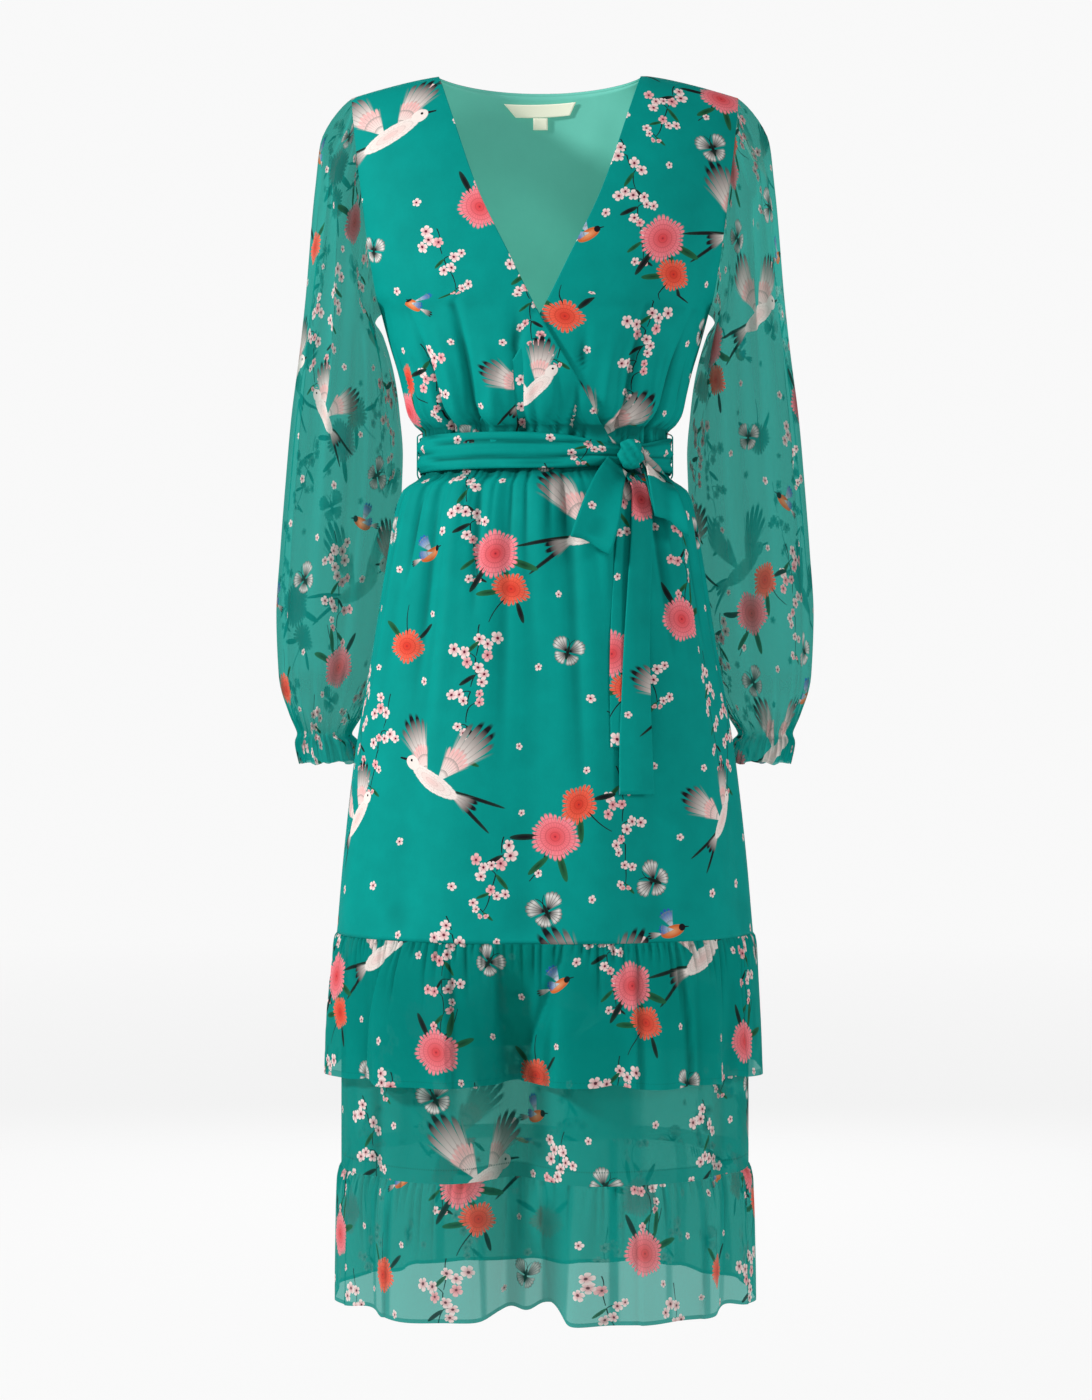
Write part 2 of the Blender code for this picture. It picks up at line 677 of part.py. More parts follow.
def sleeve_form(place, ring_number):
    """Right sleeve: place goes once round, from the underarm over the front, in armhole points.
    Each ring is an ellipse between its inner and outer points, and the first ones keep some of the
    armhole's shape."""
    stations = np.arange(len(SLEEVE["outer_x"]), dtype=float)
    at = {name: through(stations, SLEEVE[name], ring_number) for name in SLEEVE}
    angle = 2 * math.pi * place / (2 * ARMHOLE_STEPS)
    gather = at["gather"] * np.cos(math.pi * place * CUFF_COLUMNS / (2 * ARMHOLE_STEPS))
    swell = 1 + gather / at["half_depth"]
    across = np.cos(angle) * swell / 2
    x = -(at["outer_x"] + at["inner_x"]) / 2 + (at["outer_x"] - at["inner_x"]) * across
    z = (at["outer_z"] + at["inner_z"]) / 2 - (at["outer_z"] - at["inner_z"]) * across
    y = at["middle_y"] - at["half_depth"] * np.sin(angle) * swell
    ellipse = np.stack((x, y, z), axis=-1)
    share = smooth(ring_number / SLEEVE_BLEND)[..., None]
    return (1 - share) * round_trip(ARMHOLE[0], place) + share * ellipse


# ---------------------------------------------------------------- making solids
def stitch(first, second, faces):
    """Triangles between two rows of (vertex number, place), whatever their counts."""
    i = j = 0
    while i < len(first) - 1 or j < len(second) - 1:
        ahead_first = first[i + 1][1] if i < len(first) - 1 else math.inf
        ahead_second = second[j + 1][1] if j < len(second) - 1 else math.inf
        if ahead_first <= ahead_second + 1e-9:
            faces.append((first[i][0], first[i + 1][0], second[j][0]))
            i += 1
        else:
            faces.append((first[i][0], second[j + 1][0], second[j][0]))
            j += 1


def material(name, colour, roughness):
    """Principled cloth material."""
    cloth_material = bpy.data.materials.new(name)
    cloth_material.use_nodes = True
    shader = cloth_material.node_tree.nodes["Principled BSDF"]
    shader.inputs["Base Color"].default_value = (*colour, 1)
    shader.inputs["Roughness"].default_value = roughness
    shader.inputs["Metallic"].default_value = 0
    return cloth_material


def add_object(name, mesh_data, colour, roughness=0.6):
    """Finish a bmesh as a named object of the dress, its faces out and softly shaded."""
    bmesh.ops.recalc_face_normals(mesh_data, faces=mesh_data.faces)
    mesh = bpy.data.meshes.new(name)
    mesh_data.to_mesh(mesh)
    mesh_data.free()
    mesh.materials.append(material(name + "_cloth", colour, roughness))
    mesh.shade_smooth()
    mesh.set_sharp_from_angle(angle=math.radians(50))
    piece = bpy.data.objects.new(name, mesh)
    DRESS.objects.link(piece)
    return piece


def cloth(name, rows, colour=GREEN, closed=False, wall=WALL, mirrored=False):
    """Closed wall of cloth through rows of (points, normals). A closed one is a tube with open ends,
    and any other also gets its two side edges."""
    corners = []
    faces = []
    skins = []
    for side in (0.5, -0.5):
        skin = []
        for points, normals in rows:
            places = np.arange(len(points)) / (len(points) - (0 if closed else 1))
            numbers = range(len(corners), len(corners) + len(points))
            skin.append(list(zip(numbers, places)))
            corners.extend(points + normals * wall * side)
            if closed:
                skin[-1].append((skin[-1][0][0], 1.0))
        for first, second in zip(skin[:-1], skin[1:]):
            stitch(first, second, faces)
        skins.append(skin)
    outer, inner = skins
    for end in (0, -1):
        stitch(outer[end], inner[end], faces)
    if not closed:
        for edge in (0, -1):
            rims = [[(row[edge][0], i) for i, row in enumerate(skin)] for skin in skins]
            stitch(rims[0], rims[1], faces)
    mesh_data = bmesh.new()
    flip = -1 if mirrored else 1
    vertices = [mesh_data.verts.new((x * flip, y, z)) for x, y, z in corners]
    for face in faces:
        mesh_data.faces.new([vertices[number] for number in face])
    return add_object(name, mesh_data, colour)


def ease_sides(rows, start=GAP / 2, end=GAP / 2):
    """Draw each row's two ends in from the seams they meet."""
    eased = []
    for points, normals in rows:
        points = points.copy()
        points[0] += start * unit(points[1] - points[0])
        points[-1] += end * unit(points[-2] - points[-1])
        eased.append((points, normals))
    return eased


def even(count, first=0.0, last=None):
    """count intervals from first to last, as columns."""
    return np.linspace(first, count if last is None else last, count + 1)


def bodice_rows(surface, fine, coarse, facing, top_shift):
    """Rows of a bodice panel: closely set in the gathers at the waist, wider above them."""
    rows = []
    for z in BODICE["z"][:-1]:
        row = (z - WAIST_Z) / (UNDERARM_Z - WAIST_Z)
        count = fine if z < GATHER_TOP_Z else coarse
        rows.append(sample(surface, even(count, last=fine), row, facing))
    for step in range(ARMHOLE_STEPS + 1):
        rows.append(sample(surface, even(coarse, last=fine), 1 + step / ARMHOLE_STEPS, facing))
    rows[-1][0][:, 1] += top_shift
    return ease_sides(rows)


def make_bodice():
    """The two fronts, the back and the back's lining."""
    over = bodice_rows(over_front, OVER_COLUMNS, OVER_COLUMNS // 2, 1, -GAP / 2)
    under = bodice_rows(under_front, UNDER_COLUMNS, UNDER_COLUMNS // 2, 1, -GAP / 2)
    rear = bodice_rows(back, BACK_COLUMNS, BACK_COARSE, -1, GAP / 2)
    cloth("bodice_front_right", over)
    cloth("bodice_front_left", under)
    cloth("bodice_back", rear)
    columns = even(BACK_COARSE, last=BACK_COLUMNS)
    columns[0] += LINING_INSET
    columns[-1] -= LINING_INSET
    inner = [sample(lining, columns, row, -1) for row in LINING_STATIONS]
    cloth("back_lining", inner, LINING_GREEN)


def make_sleeves():
    """The two sleeves, each cut in one with its frill, the left one a mirror of the right."""
    points, normals, away = ARMHOLE
    first = (points + away * GAP, normals)
    around = 2 * ARMHOLE_STEPS
    rows = [first]
    for number in SLEEVE_RINGS:
        count = around if number <= SLEEVE_BLEND else SLEEVE_COLUMNS
        if SLEEVE["gather"][int(number)] > 0:
            count = CUFF_COLUMNS
        places = np.arange(count) * around / count
        rows.append(sample(sleeve_form, places, number, 1))
    cloth("sleeve_right", rows, SHEER_GREEN, closed=True)
    cloth("sleeve_left", rows, SHEER_GREEN, closed=True, mirrored=True)


def ring_panels(name, surface, stations, counts, colour):
    """Front and back panels of a ring, with side seams at turns 0 and 180. counts gives the columns
    of the front and the back for each station."""
    for panel, start, which in (("front", 0.0, 0), ("back", 180.0, 1)):
        rows = []
        for station, count in zip(stations, counts):
            turns = even(count[which], start, start + 180)
            rows.append(sample(surface, turns, station, -1))
        cloth(f"{name}_{panel}", ease_sides(rows), colour)


def make_skirts():
    """Upper skirt, lower skirt and the two flounces, each a front and a back."""
    counts = [SKIRT_COLUMNS if z > SKIRT_FINE_Z else SKIRT_COARSE for z in SKIRT_HEIGHTS]
    ring_panels("skirt", skirt, SKIRT_HEIGHTS, counts, GREEN)
    for name, surface, stations, columns in (
        ("upper_flounce", upper_flounce, FLOUNCE_SHARES, UPPER_COLUMNS),
        ("lower_skirt", lower_skirt, LOWER_SKIRT_HEIGHTS, LOWER_SKIRT_COLUMNS),
        ("lower_flounce", lower_flounce, FLOUNCE_SHARES, LOWER_COLUMNS),
    ):
        ring_panels(name, surface, stations, [columns] * len(stations), SHEER_GREEN)


# ---------------------------------------------------------------- tie belt
def waist_ring(turn, stand):
    """Points round the waist at a distance off it."""
    waist = np.full_like(turn, WAIST_Z)
    _, out = beside(turn, SKIRT, waist)
    return ring(turn, SKIRT, waist) + out * stand[..., None]


def sash_surface(turn, share):
    """Band round the waist: share runs from its top edge to its bottom one, with soft creases that
    climb slowly round it. It narrows and dips towards the knot."""
    away = np.abs((turn - KNOT_TURN + 180) % 360 - 180)
    half = through(SASH["away"], SASH["half"], away)
    dip = through(SASH["away"], SASH["dip"], away)
    crease = SASH_CREASE * np.cos(1.5 * (2 * math.pi * share + np.radians(turn)))
    points = waist_ring(turn, SASH_STAND + crease)
    points[..., 2] += half * (1 - 2 * share) - dip
    return points


def knot_centre():
    """Middle of the knot, just in front of the band."""
    points, normals = sample(sash_surface, np.array([KNOT_TURN]), 0.5, -1)
    return points[0] + normals[0] * (SASH_WALL / 2 + KNOT_SIZE[1] + KNOT_STAND)


def make_knot():
    """Knot: a flattened ball with slanting ridges, where the belt is pulled tight."""
    mesh_data = bmesh.new()
    bmesh.ops.create_uvsphere(mesh_data, u_segments=12, v_segments=8, radius=1)
    centre = knot_centre()
    for vertex in mesh_data.verts:
        x, y, z = vertex.co
        ridge = 1 + KNOT_RIDGE * math.cos(5 * x + 3 * z)
        vertex.co = (
            centre[0] + KNOT_SIZE[0] * x * ridge,
            centre[1] + KNOT_SIZE[1] * y * ridge,
            centre[2] + KNOT_SIZE[2] * z,
        )
    add_object("sash_knot", mesh_data, GREEN)


def ribbon(path):
    """Surface of a flat ribbon: columns run from -1 to 1 across it, rows along its path."""
    stations = np.arange(len(path["x"]), dtype=float)

    def surface(columns, rows):
        at = {name: through(stations, path[name], rows) for name in path}
        y = skirt_front_y(at["x"], np.clip(at["z"], -0.80, WAIST_Z - 0.015)) - at["stand"]
        middle = np.stack((at["x"], y, at["z"]), axis=-1)
        half = np.stack((at["across_x"], at["across_y"], at["across_z"]), axis=-1)
        return middle + half * columns[..., None]

    return surface


def hanging_end(path):
    """Surface of a hanging end: the skirt's own points moved out, columns from -1 to 1 across it."""

    def surface(columns, z):
        at = {name: through(path["z"], path[name], z) for name in path}
        turn = at["turn"] + at["half_turn"] * columns
        _, out = beside(turn, SKIRT, z)
        points = skirt(turn, z) + out * at["stand"][..., None]
        points[..., 2] = z
        return points

    return surface


def carrier_surface(turn, share):
    """Belt carrier: a narrow strip that leaves the bodice above the band and meets the skirt below
    it, standing clear of the band between them."""
    points = waist_ring(turn, through(CARRIER["share"], CARRIER["stand"], share))
    points[..., 2] = through(CARRIER["share"], CARRIER["z"], share)
    return points


def make_sash():
    """Band, knot, both loops of the bow, both hanging ends and the two belt carriers."""
    turns = np.arange(SASH_COLUMNS) * 360 / SASH_COLUMNS
    rows = [sample(sash_surface, turns, share, -1) for share in (0.0, 0.5, 1.0)]
    cloth("sash_band", rows, closed=True, wall=SASH_WALL)
    make_knot()
    across = np.linspace(-1, 1, 4)
    for name, path in (("sash_loop_right", LOOP_RIGHT), ("sash_loop_left", LOOP_LEFT)):
        places = even(LOOP_STRIPS, last=len(path["x"]) - 1)
        cloth(name, [sample(ribbon(path), across, place) for place in places])
    for name, path in (("sash_tail_front", TAIL_FRONT), ("sash_tail_back", TAIL_BACK)):
        heights = even(TAIL_STRIPS, path["z"][-1], path["z"][0])
        cloth(name, [sample(hanging_end(path), across, z, -1) for z in heights])
    for side, middle in CARRIER_TURNS.items():
        turns = np.array([middle - CARRIER_HALF_TURN, middle + CARRIER_HALF_TURN])
        rows = [sample(carrier_surface, turns, share, -1) for share in CARRIER["share"]]
        cloth(f"belt_carrier_{side}", rows)


# ---------------------------------------------------------------- label
def label_surface(across, drop):
    """The back bodice by metres from the neck's middle and metres below the back neck's edge."""
    row = 2.0 - drop * LABEL_ROW_SCALE
    return bodice_form(angle_at(across + NECK_CENTRE, row, "back"), row, "back")


def make_label():
    """Bare woven label, pointed at both ends, and its size tab, on the back lining."""
    depth = LINING_DEPTH + LINING_LOOSE + WALL
    surface = offset(label_surface, lambda across, _: np.full_like(across, -depth))
    rows = []
    for share in (-1, 0, 1):
        drops = LABEL_DROP + LABEL["half"] * share
        places = zip(LABEL["across"], drops)
        pairs = [sample(surface, np.array([across]), drop) for across, drop in places]
        rows.append(tuple(np.concatenate(part) for part in zip(*pairs)))
    cloth("neck_label", rows, LABEL_CREAM, wall=LABEL_WALL)
    rows = [sample(surface, np.array(TAB_ACROSS), drop) for drop in TAB_DROPS]
    cloth("size_tab", rows, LABEL_CREAM, wall=LABEL_WALL)


# ---------------------------------------------------------------- the dress
for old in list(bpy.data.objects):
    bpy.data.objects.remove(old, do_unlink=True)
DRESS = bpy.data.collections.new("wrap_dress")
bpy.context.scene.collection.children.link(DRESS)
ARMHOLE = armhole_ring()

make_bodice()
make_sleeves()
make_skirts()
make_sash()
make_label()
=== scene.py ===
"""Looks of the wrap dress: printed crepe on a plain lining, and printed sheer sleeves and flounces.

Each piece of cloth is a grid of points on the dress's own form, with its gathers and creases worked
into it, and carries the flat coordinates of its cut. The print is one repeat, charted in metres, that
runs over every cut, so its motifs bend and gather with the cloth.

Metres, +Z up, the front faces -Y. Right and left are the wearer's, so right is -X. A turn is in degrees
round the body, from the right side seam over the front.
"""

import itertools
import math

import bmesh
import bpy
import numpy as np
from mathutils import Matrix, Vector


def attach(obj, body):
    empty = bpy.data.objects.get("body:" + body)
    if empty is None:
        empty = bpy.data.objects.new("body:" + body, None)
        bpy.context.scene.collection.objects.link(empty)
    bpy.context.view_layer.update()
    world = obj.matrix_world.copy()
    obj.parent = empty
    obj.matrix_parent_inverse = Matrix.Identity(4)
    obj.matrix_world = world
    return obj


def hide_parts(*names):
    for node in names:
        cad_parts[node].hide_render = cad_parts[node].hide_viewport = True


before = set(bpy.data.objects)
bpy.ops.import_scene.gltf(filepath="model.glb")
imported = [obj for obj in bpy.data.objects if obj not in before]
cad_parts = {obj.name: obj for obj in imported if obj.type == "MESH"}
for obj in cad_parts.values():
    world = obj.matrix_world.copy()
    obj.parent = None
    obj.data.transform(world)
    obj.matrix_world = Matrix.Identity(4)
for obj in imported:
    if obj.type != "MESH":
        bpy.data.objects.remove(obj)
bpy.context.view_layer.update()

# ---------------------------------------------------------------- sizes of the dress, in metres
PROBE = 0.001  # step of the finite differences, in shares, rows or degrees

WAIST_Z = -0.372
UNDERARM_Z = -0.232
UPPER_SEAM_Z = -0.836
UPPER_HEM_Z = -0.970
LOWER_SEAM_Z = -1.062
LOWER_HEM_Z = -1.190

BODY_ROUNDNESS = 2.3  # powers of the superellipses round the body
SKIRT_ROUNDNESS = 2.2

NECK_CENTRE = -0.005
NECK_HALF = 0.099
NECK_CURVE = 0.75
BACK_NECK_DROP = 0.003
BACK_NECK_TURN = math.radians(40)
SHOULDER_TIP = 0.189
SHOULDER_DROP = 0.021
SHOULDER_CURVE = 1.3
UNDERARM_HALF = 0.160
ARMHOLE_CURVE = 0.8
ARMHOLE_SET = 0.032
ARMHOLE_FADE = 0.35
CHEST_RISE = {"front": 2.0, "back": 2.4}

OVER_LIFT = 0.0020
UNDER_SINK = 0.0010
OVERLAP_EASE = 0.008
LINING_DEPTH = 0.0024
LINING_LOOSE = 0.0020
LINING_CLEAR = 0.0022

SASH_STAND = 0.0052
BELOW_BAND = -0.387  # height below which the skirt is free of the band
KNOT_TURN = 127.0
KNOT_SIZE = (0.0115, 0.0085, 0.0145)
KNOT_OUT = 0.0100  # from the band's middle to the knot's
KNOT_DROP = 0.0040
CARRIER_TURNS = {"right": 6.0, "left": 174.0}
CARRIER_HALF_TURN = 1.2
LOOP_FOLDS = 0.0020  # depths of the folds of the bow's loops and of the hanging ends
END_FOLDS = 0.0008

LABEL_DROP = 0.0225  # from the back neck's edge to the label's middle
LABEL_HALF = 0.0088
LABEL_TILT = 0.04
LABEL_ENDS = ((-0.0375, -0.0255), (0.0375, 0.0310))  # right and left, each at the top and the bottom
LABEL_STAND = 0.0012
LABEL_ROW_SCALE = 4.5  # rows of the bodice for each metre below the neck
TAB_ACROSS = (-0.0070, 0.0080)
TAB_DROPS = (0.0320, 0.0470)

SKIN = 0.0006  # thickness of the lined cloth
BELT_SKIN = 0.0011
LABEL_SKIN = 0.0007

# Depths of the doubled edges.
HEM = 0.0060
NARROW_HEM = 0.0038
FRILL_HEM = 0.0025
SEAM = 0.0080
DEEP_SEAM = 0.0140

# Gathers: pitch, depth, reach away from the seam, seed. A pitch is in degrees, or in places of a sleeve.
BODICE_GATHERS = (3.9, 0.0056, 0.046)
FRONT_SEEDS = {"over": 11, "under": 12}
BACK_SEED = 13
SKIRT_GATHERS = (3.9, 0.0042, 0.056, 21)
UPPER_GATHERS = (2.1, 0.0046, 0.027, 31)
LOWER_GATHERS = (2.4, 0.0040, 0.034, 32)
WRIST_GATHERS = (0.44, 0.0044, 0.045, 41)
HEAD_GATHERS = (0.62, 0.0020, 0.060, 42)
FRILL_GATHERS = (0.46, 0.0036, 0.020, 43)
WRIST_DROP = 0.644
FRILL_DROP = 0.657

BELT_EDGE = 0.017  # half the band's height, within which the cloth keeps under it
UNDER_BELT = 0.0014
BELT_RELEASE = 0.20  # how far the relief may rise for each metre past that edge
BODICE_CREASE_SCALE = 1.4
SKIRT_CREASE_SCALE = 1.2
SEAM_OPENING = 0.02  # share of a flounce's height over which it opens from its seam

GREEN = (0.001, 0.300, 0.262)
LINING_GREEN = (0.145, 0.470, 0.390)


def table(columns, *rows):
    """Rows of numbers as one array for each named column."""
    return {name: np.array(numbers) for name, numbers in zip(columns.split(), zip(*rows))}


def crease_table(start_z, *rows):
    """Table of creases that all start at one height."""
    return table("turn z to_turn to_z out width", *((turn, start_z, *rest) for turn, *rest in rows))


# Half width and depths of the bodice, from the waist seam up to the underarm.
BODICE = table(
    "z half_width front back",
    (WAIST_Z, 0.1185, 0.085, 0.087), (-0.356, 0.118, 0.085, 0.087), (-0.348, 0.1185, 0.086, 0.088),
    (-0.34, 0.127, 0.094, 0.094), (-0.33, 0.1335, 0.101, 0.097), (-0.312, 0.138, 0.107, 0.099),
    (-0.29, 0.1435, 0.111, 0.1), (-0.262, 0.152, 0.113, 0.1), (UNDERARM_Z, UNDERARM_HALF, 0.112, 0.1),
)

# Free edge of the right front, which wraps over, from the waist seam up to the neck.
WRAP_EDGE = table(
    "z x",
    (WAIST_Z, 0.068), (-0.31, 0.033), (-0.247, -0.0045), (-0.187, -0.0345), (-0.127, -0.063),
    (-0.05, -0.0885), (0, -0.104),
)

# Upper skirt, from the seam of the upper flounce up to the waist seam. gather: how far its gathered top
# puffs out below the belt.
SKIRT = table(
    "z half_width front back gather",
    (UPPER_SEAM_Z, 0.203, 0.162, 0.166, 0), (-0.766, 0.197, 0.156, 0.16, 0),
    (-0.668, 0.186, 0.146, 0.152, 0), (-0.56, 0.168, 0.13, 0.138, 0),
    (-0.48, 0.155, 0.117, 0.124, 0.0004), (-0.43, 0.1455, 0.107, 0.113, 0.00104),
    (-0.406, 0.137, 0.098, 0.102, 0.0012), (-0.394, 0.1215, 0.088, 0.09, 0.00016),
    (-0.39, 0.1188, 0.0853, 0.0873, 0), (WAIST_Z, 0.1185, 0.085, 0.087, 0),
)

# Sheer lower skirt, from its hem up, with how far the deep drapes have opened at each height.
LOWER_SKIRT = table(
    "z half_width front back drape",
    (LOWER_HEM_Z, 0.201, 0.158, 0.165, 1), (LOWER_SEAM_Z, 0.199, 0.157, 0.164, 1),
    (UPPER_HEM_Z, 0.199, 0.158, 0.164, 1), (-0.9, 0.1995, 0.159, 0.164, 0.55),
    (UPPER_SEAM_Z, 0.201, 0.16, 0.164, 0),
)

# By share of each flounce's height: how far it stands off the skirt's line and puffs out with its
# gathers, in metres, and how much its folds show.
UPPER_STAND = table(
    "share stand gather fold",
    (0, 0.002, 0.00025, 0), (0.1, 0.004, 0.0013, 0.1), (0.3, 0.007, 0.0014, 0.35),
    (0.62, 0.0106, 0.0006, 0.75), (1, 0.0125, 0, 1),
)
LOWER_STAND = table(
    "share stand gather fold",
    (0, 0, 0.0002, 0), (0.12, 0.0022, 0.0012, 0.15), (0.35, 0.0032, 0.0011, 0.45),
    (0.7, 0.0028, 0.0004, 0.8), (1, 0.002, 0, 1),
)

# Folds round the body. turn: degrees from the right side seam, over the front. out: how far the fold
# stands out (a valley is negative). width: degrees. lean: how far its crest slides round the body.
# lift: how much the hem rises there.
SOFT_FOLDS = table(
    "turn out width",
    (22, 0.003, 8), (48, -0.0035, 7), (66, 0.004, 9), (86, -0.0045, 6), (101, 0.0035, 7),
    (119, -0.0035, 7), (139, 0.0035, 8), (160, -0.003, 8), (203, 0.003, 9), (226, -0.0035, 8),
    (249, 0.004, 9), (270, -0.0045, 7), (291, 0.004, 9), (314, -0.0035, 8), (338, 0.003, 9),
)
DRAPES = table(
    "turn out width",
    (36, -0.007, 6), (82, -0.066, 10.5), (147, -0.008, 7), (214, -0.014, 8), (262, -0.032, 10),
    (318, -0.015, 8),
)
UPPER_FOLDS = table(
    "turn out width lean lift",
    (16, 0.004, 6, 0, 0), (37, -0.004, 4, 0, 0.003), (50, 0.008, 6, -0.01, -0.001),
    (66, 0.006, 6, 0.008, 0), (76, 0.005, 3, 0.004, 0), (84, -0.005, 5, 0, 0.001),
    (96, 0.01, 4, -0.016, 0.002), (106, -0.002, 4, 0, 0.004), (119, 0.011, 7, 0, -0.001),
    (129, -0.005, 3, 0.004, 0), (136, 0.006, 4, 0.004, 0), (149, -0.003, 5, 0, 0.003),
    (164, 0.005, 6, 0, 0), (197, 0.006, 6, 0, 0), (213, -0.004, 5, 0, 0.003),
    (229, 0.01, 7, -0.008, 0), (250, 0.007, 5, 0.008, 0), (263, -0.004, 5, 0, 0.003),
    (277, 0.01, 6, -0.01, 0), (298, 0.008, 6, 0.006, 0), (316, -0.004, 5, 0, 0.002),
    (334, 0.008, 7, 0, 0), (350, -0.003, 4, 0, 0),
)
LOWER_FOLDS = table(
    "turn out width lean lift",
    (12, 0.004, 6, 0, 0), (31, -0.006, 6, 0, 0.003), (53, 0.009, 9, 0, -0.001),
    (70, 0.008, 4, 0.01, 0), (80, -0.006, 4, 0, 0.005), (91, -0.024, 4, 0, 0.012),
    (99, 0.012, 4, -0.012, 0), (116, 0.008, 8, 0, 0), (136, 0.008, 7, 0, 0),
    (152, -0.005, 5, 0, 0.004), (168, 0.005, 6, 0, 0), (192, -0.004, 5, 0, 0.002),
    (206, 0.008, 6, 0, 0), (226, -0.008, 5, 0, 0.003), (243, 0.012, 6, 0.008, 0),
    (259, -0.012, 5, 0, 0.005), (274, 0.012, 5, -0.01, 0), (293, -0.008, 5, 0, 0.003),
    (309, 0.01, 7, 0, 0), (330, -0.006, 5, 0, 0.003), (346, 0.006, 6, 0, 0),
)

# Right sleeve, ring by ring from the armhole to the frill: its outer and inner points as distances out
# from the middle of the body, where its middle lies front to back, and its half depth.
SLEEVE = table(
    "outer_x outer_z inner_x inner_z middle_y half_depth",
    (0.189, -0.022, 0.16, -0.232, 0, 0.057), (0.206, -0.043, 0.168, -0.238, 0.001, 0.059),
    (0.216, -0.064, 0.167, -0.244, 0.003, 0.061), (0.2215, -0.105, 0.162, -0.256, 0.007, 0.062),
    (0.227, -0.15, 0.1565, -0.272, 0.014, 0.062), (0.234, -0.205, 0.151, -0.295, 0.024, 0.061),
    (0.243, -0.265, 0.1465, -0.327, 0.036, 0.06), (0.253, -0.33, 0.1425, -0.368, 0.05, 0.058),
    (0.26, -0.395, 0.144, -0.415, 0.063, 0.056), (0.266, -0.46, 0.149, -0.47, 0.073, 0.054),
    (0.2705, -0.525, 0.154, -0.528, 0.079, 0.052), (0.268, -0.585, 0.166, -0.585, 0.081, 0.05),
    (0.257, -0.623, 0.184, -0.623, 0.081, 0.038), (0.248, -0.644, 0.1965, -0.644, 0.081, 0.022),
    (0.25, -0.653, 0.19, -0.653, 0.081, 0.028), (0.2465, -0.672, 0.185, -0.672, 0.081, 0.03),
)
PLACES = 16  # places once round a sleeve, from the underarm over the front
SLEEVE_BLEND = 2.0  # rings over which the armhole's own shape turns into the sleeve's

# The band of the tie belt, by degrees away from the knot: half its height and how far it dips.
SASH = table(
    "away half dip",
    (0, 0.0101, 0.004), (10, 0.0112, 0.0036), (20, 0.0134, 0.0026), (30, 0.0156, 0.0015),
    (45, 0.0171, 0.0004), (70, 0.0175, 0), (180, 0.0175, 0),
)

# The bow's loops: middle line (x, z and how far it stands before the skirt) and half of the ribbon's
# width as a sideways vector.
LOOP_RIGHT = table(
    "x z stand across_x across_y across_z",
    (0.069, -0.3855, 0.0118, 0.009, 0, -0.008), (0.061, -0.404, 0.017, 0.013, 0, -0.008),
    (0.052, -0.435, 0.022, 0.018, 0, -0.008), (0.0455, -0.456, 0.0215, 0.019, 0, -0.008),
    (0.043, -0.464, 0.0155, 0.019, 0, -0.008), (0.046, -0.455, 0.0115, 0.018, 0, -0.008),
    (0.054, -0.425, 0.0105, 0.015, 0, -0.008), (0.0655, -0.393, 0.0085, 0.009, 0, -0.007),
)
LOOP_LEFT = table(
    "x z stand across_x across_y across_z",
    (0.0945, -0.378, 0.025, 0.002, 0.001, -0.009), (0.104, -0.383, 0.027, 0.009, 0.003, -0.011),
    (0.111, -0.403, 0.03, 0.015, 0.004, -0.01), (0.118, -0.43, 0.029, 0.017, 0.004, -0.009),
    (0.121, -0.444, 0.023, 0.017, 0.004, -0.009), (0.117, -0.434, 0.017, 0.016, 0.004, -0.009),
    (0.108, -0.408, 0.015, 0.013, 0.004, -0.01), (0.096, -0.388, 0.018, 0.004, 0.002, -0.007),
)

# The hanging ends lie on the skirt: the turn of their middle, half their width in degrees and how
# far they stand off it.
TAIL_FRONT = table(
    "z turn half_turn stand",
    (-0.698, 114.4, 5.5, 0.0068), (-0.66, 114.9, 5.4, 0.0068), (-0.58, 117.6, 5, 0.0066),
    (-0.5, 121.5, 4.9, 0.0066), (-0.44, 125, 4.9, 0.0066), (-0.4, 127, 3.6, 0.008),
    (-0.3935, 127.2, 3, 0.0095),
)
TAIL_BACK = table(
    "z turn half_turn stand",
    (-0.654, 111.2, 4, 0.003), (-0.6, 112, 4, 0.003), (-0.52, 114.4, 3.9, 0.003),
    (-0.44, 118.6, 3.6, 0.003), (-0.42, 119.6, 2.6, 0.003),
)

# Belt carriers, by share of the way down: height and how far they stand off the waist.
CARRIER = table(
    "share z stand",
    (0, -0.35, 0.001408), (0.1, -0.352, 0.005632), (0.2, -0.354, 0.006688), (0.5, -0.372, 0.006688),
    (0.8, -0.389, 0.006688), (0.9, -0.3915, 0.006336), (1, -0.394, 0.00528),
)

